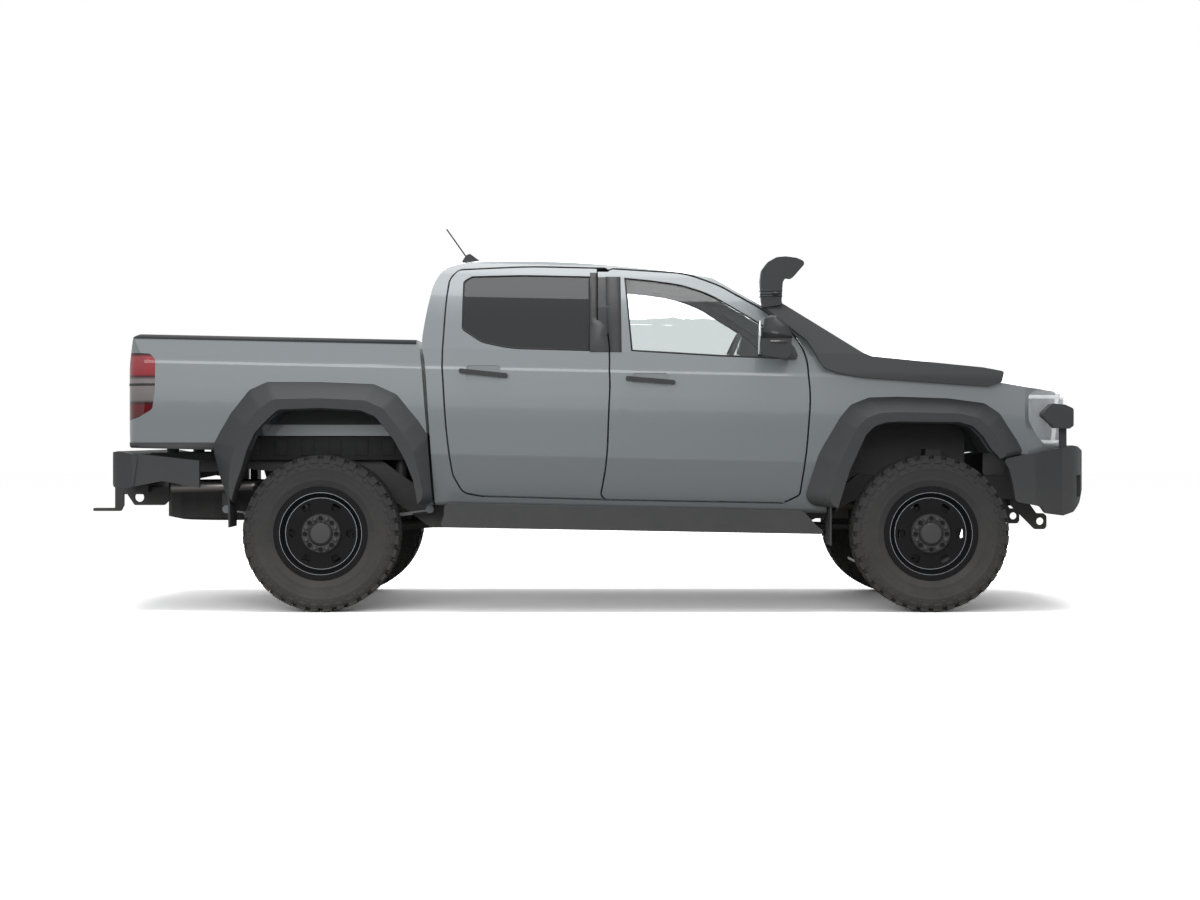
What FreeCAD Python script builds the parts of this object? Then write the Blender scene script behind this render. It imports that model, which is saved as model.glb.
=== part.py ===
import FreeCAD
import Part
import Sketcher
import math
import os
from FreeCAD import Placement, Rotation, Vector

doc = FreeCAD.newDocument("off_road_truck")

# Driving dimensions in millimetres and degrees.
SIZES = {
    "wheelbase": 3270.0,
    "track": 1710.0,
    "roof_height": 1935.0,
    "half_width": 930.0,
    "crown_radius": 5200.0,
    "shut_gap": 9.5,
    "panel_gap": 6.0,
    "seat_gap": 0.3,
    "overrun": 60.0,
    "soft_corner": 30.0,
    "long_curve": 6000.0,
    "least_bend": 0.005,
    "panel_skin": 26.0,
    "grille_depth": 70.0,
    "glass_thickness": 5.0,
    "glass_inset": 6.0,
    "tyre_radius": 421.0,
    "tyre_width": 275.0,
    "tyre_sides": 20.0,
    "lug_count": 22.0,
    "lug_height": 13.0,
    "lug_angle": 8.0,
    "flange_radius": 249.0,
    "bead_radius": 229.0,
    "rim_wall": 9.0,
    "rim_width": 232.0,
    "disc_radius": 190.0,
    "disc_thickness": 12.0,
    "disc_setback": 34.0,
    "hole_ring_radius": 155.0,
    "hole_length": 40.0,
    "hole_inner_width": 34.0,
    "hole_outer_width": 54.0,
    "hole_count": 6.0,
    "hub_cover_radius": 104.0,
    "hub_cover_height": 26.0,
    "centre_cap_radius": 62.0,
    "cap_face_radius": 43.4,
    "centre_cap_height": 20.0,
    "nut_ring_radius": 84.0,
    "nut_radius": 12.0,
    "nut_height": 18.0,
    "nut_count": 8.0,
    "brake_radius": 160.0,
    "brake_thickness": 26.0,
    "spindle_radius": 26.0,
    "spindle_length": 44.0,
    "hub_radius": 70.0,
    "kingpin_offset": 65.0,
    "kingpin_low": 300.0,
    "kingpin_high": 560.0,
    "ball_radius": 24.0,
    "joint_clearance": 6.0,
    "knuckle_thickness": 30.0,
    "knuckle_width": 110.0,
    "steering_arm_length": 125.0,
    "steering_arm_height": 360.0,
    "rod_radius": 12.0,
    "rod_inset": 15.0,
    "rod_pin_radius": 9.0,
    "rack_radius": 26.0,
    "rack_half_length": 330.0,
    "rack_foot_offset": 247.5,
    "arm_thickness": 34.0,
    "arm_spread": 165.0,
    "arm_pivot_radius": 26.0,
    "arm_leg_width": 45.0,
    "lower_arm_waist": 105.0,
    "upper_arm_waist": 55.0,
    "shaft_radius": 16.0,
    "rear_shaft_radius": 28.8,
    "front_shaft_radius": 20.8,
    "boot_radius": 40.0,
    "diff_radius": 95.0,
    "diff_half_width": 152.0,
    "diff_nose_length": 171.0,
    "diff_foot_offset": 136.8,
    "rail_width": 80.0,
    "rail_offset": 440.0,
    "cross_radius": 34.0,
    "mount_radius": 42.0,
    "puck_radius": 33.6,
    "axle_radius": 44.0,
    "axle_diff_radius": 150.0,
    "axle_nose_length": 225.0,
    "spring_width": 70.0,
    "spring_leaf": 9.0,
    "spring_leaves": 4.0,
    "spring_offset": 575.0,
    "spring_half_length": 560.0,
    "spring_rise": 40.0,
    "spring_eye_radius": 22.0,
    "damper_radius": 30.0,
    "damper_rod_radius": 13.0,
    "coil_radius": 42.0,
    "pin_radius": 6.0,
    "pin_half_length": 40.0,
    "hinge_plate": 14.0,
    "hinge_pocket_half": 20.0,
    "hinge_arm_half": 12.0,
    "hinge_set_back": 75.0,
    "hinge_depth": 26.0,
    "bonnet_hinge_reach": 45.0,
    "bonnet_pin_radius": 4.8,
    "bonnet_pin_half": 28.0,
    "bonnet_arm_drop": 63.0,
    "door_lean": 0.35,
    "rake": 0.021,
    "gate_thickness": 52.0,
    "gate_space": 50.0,
    "gate_half_width": 700.0,
    "gate_hinge_height": 920.0,
    "trunnion_radius": 10.0,
    "trunnion_length": 24.0,
    "bed_side": 160.0,
    "bed_floor_top": 985.0,
    "bed_floor_thickness": 40.0,
    "bed_front_wall": 50.0,
    "rear_sill": 46.0,
    "wheel_box_half_length": 540.0,
    "wheel_box_inner": 560.0,
    "wheel_box_top": 1180.0,
    "wheel_box_wall": 14.0,
    "flare_reach": 86.0,
    "flare_seat": 8.0,
    "liner_thickness": 8.0,
    "flap_thickness": 8.0,
    "flap_half_width": 130.0,
    "step_reach": 90.0,
    "step_height": 74.0,
    "hitch_width": 63.0,
    "hitch_bore": 51.0,
    "tongue_width": 50.0,
    "ball_hole_radius": 13.0,
    "recovery_hole_radius": 26.0,
    "hook_hole_radius": 20.8,
    "recovery_thickness": 20.0,
    "steering_wheel_radius": 186.0,
    "steering_wheel_grip": 15.0,
    "steering_tilt": 24.0,
    "column_radius": 24.0,
    "boss_radius": 48.0,
    "boss_depth": 28.8,
    "shroud_radius": 38.4,
    "seat_half_width": 250.0,
    "seat_base_half": 200.0,
    "seat_side": 370.0,
    "lamp_depth": 60.0,
    "mast_radius": 4.0,
    "fin_width": 26.0,
    "snorkel_depth": 48.0,
    "bumper_wall": 60.0,
    "bumper_lip": 22.0,
    "pocket_depth": 34.0,
    "pod_half_width": 50.0,
    "pod_offset": 15.0,
    "handle_reach": 26.0,
    "cup_depth": 12.0,
    "slat_pitch": 36.0,
    "slat_gap": 20.0,
    "slat_count": 7.0,
    "pipe_radius": 28.0,
    "silencer_radius": 65.0,
    "damper_eye_radius": 20.0,
    "spare_radius": 380.0,
    "spare_width": 220.0,
    "hub_cap_depth": 60.0,
    "shroud_length": 260.0,
}

sheet = doc.addObject("Spreadsheet::Sheet", "Sizes")
for row, (alias, value) in enumerate(SIZES.items(), start=1):
    sheet.set("A%d" % row, alias)
    sheet.set("B%d" % row, repr(value))
    sheet.setAlias("B%d" % row, alias)
doc.recompute()


class Reader:
    """Gives each cell of the sheet as a number by its alias."""

    def __getattr__(self, alias):
        return float(sheet.get(alias))


d = Reader()

# Lengthwise places are shares of the wheelbase from the rear axle, heights are shares of the roof
# height and half breadths are shares of the body's half width.
NOSE_SHARE = 1.2862
TONGUE_SHARE = -0.4324
RAKE_SHARE = 0.470

rear_axle_x = -d.wheelbase * (NOSE_SHARE + TONGUE_SHARE) / 2
front_axle_x = rear_axle_x + d.wheelbase
wheel_y = d.track / 2
kingpin_y = wheel_y - d.kingpin_offset
LEFT = 1
RIGHT = -1
SIDES = {"left": LEFT, "right": RIGHT}
AXIS_X = Vector(1, 0, 0)
AXIS_Y = Vector(0, 1, 0)
AXIS_Z = Vector(0, 0, 1)

nodes = {}


def along(share):
    """Lengthwise place of a share of the wheelbase from the rear axle."""
    return rear_axle_x + share * d.wheelbase


def up(share):
    """Height of a share of the roof height."""
    return share * d.roof_height


def out(share):
    """Half breadth of a share of the body's half width."""
    return share * d.half_width


def rounded_wire(points, radii):
    """Closed wire through the points, with a tangent arc at each corner as large as its runs allow."""
    reach_share = 0.45
    corners = []
    count = len(points)
    for index, corner in enumerate(points):
        back = points[index - 1] - corner
        ahead = points[(index + 1) % count] - corner
        inner_angle = back.getAngle(ahead)
        slope = math.tan((math.pi - inner_angle) / 2)
        reach = min(radii[index] * slope, reach_share * back.Length, reach_share * ahead.Length)
        back.normalize()
        ahead.normalize()
        middle = back + ahead
        if reach > 0 and middle.Length > d.least_bend:
            middle.normalize()
            depth = reach / slope * (1 / math.sin(inner_angle / 2) - 1)
            corners.append((corner + back * reach, corner + middle * depth, corner + ahead * reach))
        else:
            corners.append((corner, None, corner))
    edges = []
    for index, (first, middle, last) in enumerate(corners):
        if middle is not None:
            edges.append(Part.Arc(first, middle, last).toShape())
        edges.append(Part.LineSegment(last, corners[(index + 1) % count][0]).toShape())
    return Part.Wire(edges)


def corner_radii(rows, radius):
    """Corner radius of each row: its third value, where it has one, is a share of the usual radius."""
    return [radius * (row[2] if len(row) > 2 else 1.0) for row in rows]


def moved_in(points, distance):
    """Points of a plane outline moved towards its inside by a distance, with mitred corners."""
    normal = Vector(0, 0, 0)
    for index, point in enumerate(points):
        normal += points[index - 1].cross(point)
    normal.normalize()
    moved = []
    for index, point in enumerate(points):
        before = point - points[index - 1]
        after = points[(index + 1) % len(points)] - point
        first = normal.cross(before).normalize()
        last = normal.cross(after).normalize()
        moved.append(point + (first + last) * (distance / (1 + first.dot(last))))
    return moved


def outline_face(points, radius):
    """Plane face inside a closed outline, with one radius or a list of them; zero keeps a corner sharp."""
    radii = radius if isinstance(radius, list) else [radius] * len(points)
    return Part.Face(rounded_wire(points, radii))


def side_points(rows, y=0.0):
    """Side view points in space of rows of lengthwise share and height share."""
    return [Vector(along(row[0]), y, up(row[1])) for row in rows]


def axle_points(rows, axle_x, y=0.0):
    """Side view points in space of rows in shares of the tyre's radius from the axle and the floor."""
    return [Vector(axle_x + row[0] * d.tyre_radius, y, row[1] * d.tyre_radius) for row in rows]


def across(points, start_y, end_y, radius=0.0):
    """Prism between two places across the truck of a side view outline."""
    face = outline_face([Vector(p.x, start_y, p.z) for p in points], radius)
    return face.extrude(Vector(0, end_y - start_y, 0))


def upright(points, start_z, end_z, radius=0.0):
    """Prism between two heights of a plan view outline."""
    face = outline_face([Vector(p.x, p.y, start_z) for p in points], radius)
    return face.extrude(Vector(0, 0, end_z - start_z))


def lengthwise(points, start_x, end_x, radius=0.0):
    """Prism between two places along the truck of a front view outline."""
    face = outline_face([Vector(start_x, p.y, p.z) for p in points], radius)
    return face.extrude(Vector(end_x - start_x, 0, 0))


def block(start_x, end_x, start_y, end_y, start_z, end_z):
    """Upright box between pairs of places."""
    low = Vector(min(start_x, end_x), min(start_y, end_y), min(start_z, end_z))
    return Part.makeBox(abs(end_x - start_x), abs(end_y - start_y), abs(end_z - start_z), low)


def bar(start, end, radius):
    """Round bar from one point to another."""
    return Part.makeCylinder(radius, (end - start).Length, start, end - start)


def mirrored(shape):
    """The same shape on the other side of the truck."""
    return shape.mirror(Vector(0, 0, 0), AXIS_Y)


def on_side(shape, side):
    """A shape made for the left side, on the named side."""
    return shape if side == LEFT else mirrored(shape)


def both(shape):
    """A shape made for the left side and its mirror image."""
    return Part.makeCompound([shape, mirrored(shape)])


def joined(shapes):
    """One solid of shapes that overlap."""
    return shapes[0].fuse(shapes[1:]).removeSplitter()


def largest(shape):
    """The largest solid of a shape."""
    return max(shape.Solids, key=lambda solid: solid.Volume)


def keep(name, shape):
    """Adds a sub-part whose shape is worked out from the sheet's sizes."""
    feature = doc.addObject("Part::Feature", name)
    feature.Label = name
    feature.Shape = shape
    feature.Placement = shape.Placement
    nodes[name] = feature


def keep_object(name, feature):
    """Adds a sub-part that is already an object of the document."""
    feature.Label = name
    nodes[name] = feature


def make_body(name):
    """A body of sketched features."""
    return doc.addObject("PartDesign::Body", name)


def origin_feature(body, role):
    """One of a body's own origin planes or axes."""
    for feature in body.Origin.OriginFeatures:
        if feature.Role == role:
            return feature
    raise ValueError(role)


def make_sketch(body, name, role, wire_points, radius=0.0):
    """Sketch on an origin plane, of one closed outline with rounded corners, given flat."""
    sketch = body.newObject("Sketcher::SketchObject", name)
    sketch.AttachmentSupport = [(origin_feature(body, role), "")]
    sketch.MapMode = "FlatFace"
    radii = radius if isinstance(radius, list) else [radius] * len(wire_points)
    wire = rounded_wire([Vector(p[0], p[1], 0) for p in wire_points], radii)
    for edge in wire.Edges:
        if edge.Curve.TypeId == "Part::GeomLine":
            first, last = [vertex.Point for vertex in edge.Vertexes]
            sketch.addGeometry(Part.LineSegment(first, last))
        else:
            start, end = edge.ParameterRange
            points = [edge.valueAt(start), edge.valueAt((start + end) / 2), edge.valueAt(end)]
            sketch.addGeometry(Part.Arc(*points))
    return sketch


def circle_sketch(body, name, role, centre, size):
    """Sketch on an origin plane, of one circle whose radius is a size of the sheet."""
    sketch = body.newObject("Sketcher::SketchObject", name)
    sketch.AttachmentSupport = [(origin_feature(body, role), "")]
    sketch.MapMode = "FlatFace"
    circle = Part.Circle(Vector(centre[0], centre[1], 0), AXIS_Z, getattr(d, size))
    index = sketch.addGeometry(circle)
    sketch.addConstraint(Sketcher.Constraint("Radius", index, getattr(d, size)))
    sketch.renameConstraint(0, "radius")
    sketch.setExpression("Constraints.radius", "Sizes." + size)
    return sketch


def revolve(body, name, sketch, axis):
    """Turns a sketch once round one of its own axes."""
    feature = body.newObject("PartDesign::Revolution", name)
    feature.Profile = sketch
    feature.ReferenceAxis = (sketch, [axis])
    feature.Angle = 360.0
    return feature


# Side of the body in front view: sill, lower crease, shoulder crease, belt, side glass and roof rail.
# A third value is the corner's share of the usual radius.
SECTION_SHARES = [
    (0.930, 0.285), (0.985, 0.427, 2.0), (1.000, 0.550, 90.0), (0.998, 0.671, 3.0), (0.966, 0.722),
    (0.850, 0.850, 60.0), (0.712, 0.942, 4.0), (0.640, 0.976, 6.0), (0.540, 0.994, 20.0),
]
SECTION_TOP_SHARE = 1.020
INNER_SECTION_SHARES = [
    (0.840, 0.335), (0.870, 0.700), (0.905, 0.735), (0.795, 0.850, 20.0), (0.665, 0.932),
    (0.600, 0.955),
]
INNER_TOP_SHARE = 0.985
OPEN_TOP_SHARE = 1.300


def section_prism(rows, top_share, start_share, end_share, inset=0.0):
    """Body section drawn along the truck, falling towards the nose by the rake."""
    start_x = along(start_share)
    end_x = along(end_share)
    lift = (along(RAKE_SHARE) - start_x) * d.rake
    mirrored_rows = [(-row[0],) + tuple(row[1:]) for row in reversed(rows)]
    loop = list(rows) + [(0.0, top_share)] + mirrored_rows
    points = [Vector(start_x, out(row[0]), up(row[1]) + lift) for row in loop]
    face = outline_face(moved_in(points, inset), corner_radii(loop, d.soft_corner))
    return face.extrude(Vector(end_x - start_x, 0, (start_x - end_x) * d.rake))


def crowned(rows, inset=0.0):
    """Side outline turned about a far axis under the truck, so that it bows across the width."""
    points = moved_in(side_points(rows), inset)
    face = outline_face(points, corner_radii(rows, d.long_curve))
    axis_height = d.roof_height - d.crown_radius
    lowest = min(point.z for point in points) - axis_height
    half_angle = math.degrees(math.asin((d.half_width + d.overrun) / lowest))
    axis = Vector(0, 0, axis_height)
    face.rotate(axis, AXIS_X, -half_angle)
    return face.revolve(axis, AXIS_X, 2 * half_angle)


def section_half_width(height):
    """Half width of the body's outer section at a height, between its points."""
    for low, high in zip(SECTION_SHARES, SECTION_SHARES[1:]):
        if height <= up(high[1]):
            part = (height - up(low[1])) / (up(high[1]) - up(low[1]))
            return out(low[0] + (high[0] - low[0]) * max(part, 0.0))
    return out(SECTION_SHARES[-1][0])


# Cab outlines in side view at the middle of the truck.
CAB_SHARES = [
    (0.191, 0.200, 0.0), (0.170, 0.740), (0.163, 0.790), (0.170, 0.870), (0.180, 0.945),
    (0.197, 0.985), (0.232, 1.000), (0.318, 1.003), (0.400, 1.000), (0.500, 0.989), (0.600, 0.970),
    (0.645, 0.959, 0.01), (0.886, 0.7402, 0.0), (0.886, 0.690, 0.0), (0.832, 0.670, 0.0),
    (0.832, 0.200, 0.0),
]
CAB_INNER_SHARES = [
    (0.207, 0.200, 0.0), (0.192, 0.740), (0.186, 0.820), (0.200, 0.945, 0.01), (0.235, 0.976, 0.02),
    (0.330, 0.980), (0.460, 0.971), (0.600, 0.945), (0.640, 0.930, 0.01), (0.845, 0.742, 0.0),
    (0.818, 0.690, 0.0), (0.812, 0.200, 0.0),
]
FRONT_DOOR_SHARES = [
    (0.4685, 0.962), (0.600, 0.947, 20.0), (0.655, 0.911, 20.0), (0.728, 0.838, 20.0),
    (0.776, 0.773, 20.0), (0.797, 0.705, 20.0), (0.803, 0.600, 90.0), (0.796, 0.435, 90.0),
    (0.786, 0.325), (0.760, 0.304), (0.459, 0.313), (0.471, 0.421, 90.0), (0.476, 0.640, 90.0),
    (0.475, 0.721, 20.0),
]
REAR_DOOR_SHARES = [
    (0.223, 0.957), (0.340, 0.967, 90.0), (0.4685, 0.962), (0.500, 0.721), (0.500, 0.421),
    (0.490, 0.312), (0.260, 0.323, 2.0), (0.232, 0.332, 2.0), (0.216, 0.380, 4.0),
    (0.206, 0.505, 90.0), (0.200, 0.671, 90.0), (0.2015, 0.760, 90.0), (0.2035, 0.850, 90.0),
    (0.209, 0.930, 2.0),
]
FRONT_DOOR_FRONT_SHARE = 0.803
REAR_DOOR_FRONT_SHARE = 0.475
HINGE_HEIGHT_SHARES = [0.480, 0.630]
REAR_GLASS_SHARES = [
    (0.229, 0.785), (0.229, 0.925), (0.243, 0.940), (0.330, 0.944, 90.0), (0.441, 0.940, 0.1),
    (0.441, 0.724, 0.1), (0.309, 0.730, 90.0), (0.262, 0.748, 4.0),
]
FRONT_GLASS_SHARES = [
    (0.498, 0.936, 0.1), (0.541, 0.929, 20.0), (0.592, 0.917, 20.0), (0.640, 0.890, 20.0),
    (0.727, 0.800, 90.0), (0.758, 0.755, 2.0), (0.758, 0.702, 0.5), (0.655, 0.709, 90.0),
    (0.509, 0.724, 0.1),
]
WINDSCREEN_SHARES = [
    (0.000, 0.946, 90.0), (0.500, 0.936, 90.0), (0.665, 0.912), (0.842, 0.777), (0.825, 0.757),
    (0.000, 0.757, 0.0),
]
REAR_WINDOW_SHARES = [
    (0.000, 0.925, 0.0), (0.590, 0.915), (0.690, 0.790), (0.660, 0.772), (0.000, 0.772, 0.0),
]
FLOOR_CUT_SHARE = 0.316
TUNNEL_HALF_SHARE = 0.190
TUNNEL_TOP_SHARE = 0.420
TUNNEL_START_SHARE = 0.420
FLOOR_THICKNESS_SHARE = 0.019

body_section = section_prism(SECTION_SHARES, SECTION_TOP_SHARE, -0.40, 1.40)
open_section_rows = [(INNER_SECTION_SHARES[0][0], 0.100)] + INNER_SECTION_SHARES[1:]
inner_section = section_prism(open_section_rows, OPEN_TOP_SHARE, -0.40, 1.40)
cab_outer = crowned(CAB_SHARES).common(body_section)
cab_inner = crowned(CAB_INNER_SHARES).common(
    section_prism(INNER_SECTION_SHARES, INNER_TOP_SHARE, 0.1, 0.95))
cab_wall = cab_outer.cut(cab_inner)
side_wall = cab_outer.cut(inner_section)


def door_face(rows):
    """Door outline beside the truck, leaned so that a door's inner side lies further forward."""
    points = []
    for row in rows:
        lean = d.door_lean * (d.half_width + d.overrun - section_half_width(up(row[1])))
        points.append(Vector(along(row[0]) - lean, d.half_width + d.overrun, up(row[1])))
    return outline_face(points, corner_radii(rows, d.soft_corner))


def door_prism(face):
    """Leaned prism of a door face, from beside the body to the roof rail."""
    depth = d.overrun + out(1.0 - SECTION_SHARES[-1][0])
    return face.extrude(Vector(d.door_lean * depth, -depth, 0))


def window_prism(rows):
    """Straight prism of a side window's outline."""
    return across(side_points(rows), d.half_width + d.overrun, out(INNER_SECTION_SHARES[-1][0] / 2),
                  corner_radii(rows, d.soft_corner))


def hinge_axis(front_share):
    """Place in plan of a left door's upright hinge axis behind its front edge."""
    return Vector(along(front_share) - d.hinge_set_back, d.half_width - d.hinge_depth, 0)


def hinge_pocket(axis, height):
    """Space in a door round one hinge, open to the front and to the inner side."""
    depth = 2 * d.hinge_set_back
    pocket = block(axis.x - d.hinge_pocket_half, axis.x + depth, axis.y + d.hinge_pocket_half / 2,
                   axis.y - depth, height - d.hinge_pocket_half, height + d.hinge_pocket_half)
    low = Vector(axis.x, axis.y, height - d.pin_half_length - d.seat_gap)
    bore = Part.makeCylinder(d.pin_radius + d.seat_gap, 2 * (d.pin_half_length + d.seat_gap), low)
    return pocket.fuse(bore)


def hinge_bracket(axis, height, reach):
    """Pin and curved arm that reaches from the pillar's inner side to the door's axis."""
    half_plate = d.hinge_plate / 2
    inner_y = axis.y - d.hinge_set_back - d.hinge_plate
    low = Vector(axis.x, axis.y, height - d.pin_half_length)
    pin = Part.makeCylinder(d.pin_radius, 2 * d.pin_half_length, low)
    low_z = height - d.hinge_arm_half
    high_z = height + d.hinge_arm_half
    inward = block(axis.x - half_plate, axis.x + half_plate, axis.y + half_plate, inner_y - d.hinge_plate,
                   low_z, high_z)
    forward = block(axis.x - half_plate, axis.x + reach, inner_y, inner_y - d.hinge_plate,
                    low_z, high_z)
    return joined([pin, inward, forward])


def door_parts(face, front_share, glass_rows):
    """Left door with its window opening and hinge pockets, and its pane of glass."""
    axis = hinge_axis(front_share)
    shape = side_wall.common(door_prism(face))
    swing = Part.makeCylinder(d.hinge_set_back + d.panel_gap, d.roof_height, Vector(axis.x, axis.y, 0))
    corner = block(axis.x, axis.x + 4 * d.hinge_set_back, axis.y, 0, 0, d.roof_height)
    shape = shape.cut(corner.cut(swing))
    window = window_prism(glass_rows)
    shape = shape.cut(window)
    for share in HINGE_HEIGHT_SHARES:
        shape = shape.cut(hinge_pocket(axis, up(share)))
    outer = section_prism(SECTION_SHARES, OPEN_TOP_SHARE, -0.40, 1.40, d.glass_inset)
    inner = section_prism(SECTION_SHARES, OPEN_TOP_SHARE, -0.40, 1.40, d.glass_inset + d.glass_thickness)
    pane = largest(outer.cut(inner).common(window))
    return largest(shape), pane


# Doors: each is the part of the cab's side wall inside its outline.
front_face = door_face(FRONT_DOOR_SHARES)
front_grown = front_face.makeOffset2D(d.shut_gap)
rear_full = door_face(REAR_DOOR_SHARES)
rear_face = rear_full.cut(front_grown)
rear_grown = rear_full.makeOffset2D(d.shut_gap)
front_door, front_pane = door_parts(front_face, FRONT_DOOR_FRONT_SHARE, FRONT_GLASS_SHARES)
rear_door, rear_pane = door_parts(rear_face, REAR_DOOR_FRONT_SHARE, REAR_GLASS_SHARES)
cab_left_cut = side_wall.common(door_prism(front_grown).fuse(door_prism(rear_grown)))
cab_shape = cab_wall.cut([cab_left_cut, mirrored(cab_left_cut)])

# Cab openings: windscreen, rear window, hollow under the floor and the tunnel over the gearbox.
windscreen_points = [Vector(0, out(row[0]), up(row[1])) for row in WINDSCREEN_SHARES]
screen_half = lengthwise(windscreen_points, along(0.60), along(0.95),
                         corner_radii(WINDSCREEN_SHARES, d.soft_corner))
screen_cut = screen_half.fuse(mirrored(screen_half))
rear_points = [Vector(0, out(row[0]), up(row[1])) for row in REAR_WINDOW_SHARES]
rear_window_half = lengthwise(rear_points, along(0.10), along(0.24),
                              corner_radii(REAR_WINDOW_SHARES, d.soft_corner))
rear_window_cut = rear_window_half.fuse(mirrored(rear_window_half))
under_cut = block(along(0.10), along(0.95), -out(0.800), out(0.800), up(0.0), up(FLOOR_CUT_SHARE))
tunnel_half = out(TUNNEL_HALF_SHARE)
floor_skin = up(FLOOR_THICKNESS_SHARE)
tunnel = block(along(TUNNEL_START_SHARE), along(0.825), -tunnel_half, tunnel_half,
               up(FLOOR_CUT_SHARE), up(TUNNEL_TOP_SHARE))
tunnel_cut = block(along(TUNNEL_START_SHARE) + floor_skin, along(0.90), floor_skin - tunnel_half,
                   tunnel_half - floor_skin, up(0.20), up(TUNNEL_TOP_SHARE) - floor_skin)
cab_shape = cab_shape.cut([screen_cut, rear_window_cut, under_cut]).fuse(tunnel).cut(tunnel_cut)
HINGE_REACH_SHARES = {FRONT_DOOR_FRONT_SHARE: 2.0, REAR_DOOR_FRONT_SHARE: 1.4}
for front_share, reach_share in HINGE_REACH_SHARES.items():
    for share in HINGE_HEIGHT_SHARES:
        bracket = hinge_bracket(hinge_axis(front_share), up(share), reach_share * d.hinge_set_back)
        cab_shape = cab_shape.fuse([bracket, mirrored(bracket)])

# Pillar between the doors, inboard of them.
post_outer = section_prism(INNER_SECTION_SHARES, INNER_TOP_SHARE, 0.450, 0.490, d.panel_gap)
post_inner = section_prism(INNER_SECTION_SHARES, INNER_TOP_SHARE, 0.440, 0.500,
                           d.panel_gap + d.bed_front_wall)
post = post_outer.cut(post_inner)
rear_axis = hinge_axis(REAR_DOOR_FRONT_SHARE)
rear_swing = Part.makeCylinder(d.hinge_set_back + 2 * d.panel_gap, d.roof_height,
                               Vector(rear_axis.x, rear_axis.y, 0))
post = post.cut([rear_swing, mirrored(rear_swing)])
cab_shape = largest(cab_shape.fuse(post))
keep("cab_shell", cab_shape)

for side_name, side in SIDES.items():
    keep("front_door_" + side_name, on_side(front_door, side))
    keep("front_glass_" + side_name, on_side(front_pane, side))
    keep("rear_door_" + side_name, on_side(rear_door, side))
    keep("rear_glass_" + side_name, on_side(rear_pane, side))

glass_outer = crowned(CAB_SHARES, d.glass_inset)
glass_inner = crowned(CAB_SHARES, d.glass_inset + d.glass_thickness)
glass_layer = glass_outer.cut(glass_inner)
screen_pane = largest(glass_layer.common(screen_cut))
rear_window_pane = largest(glass_layer.common(rear_window_cut))
keep("cab_glass", Part.makeCompound([screen_pane, rear_window_pane]))



# Front of the body: side outline at the middle and plan outline of the left half.
NOSE_SHARES = [
    (0.775, 0.200, 0.0), (0.775, 0.757, 0.0), (0.897, 0.7385), (0.974, 0.721), (1.060, 0.700),
    (1.146, 0.677), (1.190, 0.662), (1.225, 0.637, 0.05), (1.249, 0.606, 0.01),
    (1.2565, 0.560, 0.02), (1.252, 0.470, 0.02), (1.245, 0.200, 0.0),
]
NOSE_PLAN_SHARES = [
    (0.700, 1.060, 0.0), (1.120, 1.060), (1.160, 0.992, 20.0), (1.196, 0.930, 20.0),
    (1.224, 0.810, 20.0), (1.243, 0.560, 20.0), (1.254, 0.250, 20.0),
]
BONNET_PLAN_SHARES = [(0.800, 0.000), (0.800, 0.800), (1.100, 0.845), (1.300, 0.845), (1.300, 0.000)]
BONNET_LIP_SHARE = 0.619
LAMP_SHARES = [
    (1.162, 0.604), (1.178, 0.6165), (1.300, 0.603, 0.0), (1.300, 0.476, 0.0), (1.190, 0.466),
    (1.176, 0.491), (1.162, 0.533),
]
LAMP_INNER_SHARE = 0.520
GRILLE_TOP_SHARE = 0.612
GRILLE_BOTTOM_SHARE = 0.452
WING_BOTTOM_SHARE = 0.437
COWL_SHARE = 0.886
FRONT_ARCH_SHARES = [
    (-1.300, 0.500, 0.0), (-1.221, 1.242), (-1.043, 1.812), (-0.841, 2.257), (-0.727, 2.371),
    (-0.575, 2.420), (-0.406, 2.428), (0.352, 2.420), (0.515, 2.371), (0.644, 2.242), (0.751, 2.078),
    (0.834, 1.990), (0.980, 1.800), (1.068, 1.410), (1.068, 0.500, 0.0),
]
REAR_ARCH_SHARES = [
    (-1.126, 0.500, 0.0), (-1.126, 1.401), (-1.076, 1.596), (-1.000, 1.812), (-0.924, 2.067),
    (-0.827, 2.280), (-0.675, 2.447), (-0.530, 2.580), (0.000, 2.599), (0.511, 2.572),
    (0.703, 2.494), (0.941, 2.192), (1.081, 1.938), (1.183, 1.684), (1.245, 1.354),
    (1.245, 0.500, 0.0),
]


def plan_prism(rows, inset=0.0):
    """Upright prism of a plan outline given for the left half."""
    right = [(row[0], -row[1]) + tuple(row[2:]) for row in reversed(rows)]
    loop = list(rows) + right
    points = [Vector(along(row[0]), out(row[1]), 0) for row in loop]
    face = outline_face(moved_in(points, inset), corner_radii(loop, d.soft_corner))
    return face.extrude(Vector(0, 0, d.roof_height))


def open_backwards(rows):
    """The nose outline drawn further back, so that its inside is open to the cab."""
    return [(0.700, 0.100, 0.0), (0.700, 0.770, 0.0)] + rows[2:-1] + [(rows[-1][0], 0.100, 0.0)]


def nose_solid(inset):
    """Solid inside the front of the body at a depth under its skin."""
    if inset == 0:
        return crowned(NOSE_SHARES).common(body_section).common(plan_prism(NOSE_PLAN_SHARES))
    section_rows = [(SECTION_SHARES[0][0], 0.050)] + SECTION_SHARES[1:]
    section = section_prism(section_rows, SECTION_TOP_SHARE, 0.60, 1.40, inset)
    back_plan = [(0.600, 1.060, 0.0)] + NOSE_PLAN_SHARES[1:]
    return crowned(open_backwards(NOSE_SHARES), inset).common(section).common(
        plan_prism(back_plan, inset))


nose_outer = nose_solid(0)
nose_shell = nose_outer.cut(nose_solid(d.panel_skin))
nose_deep = nose_outer.cut(nose_solid(d.grille_depth))
tall = d.roof_height

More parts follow.
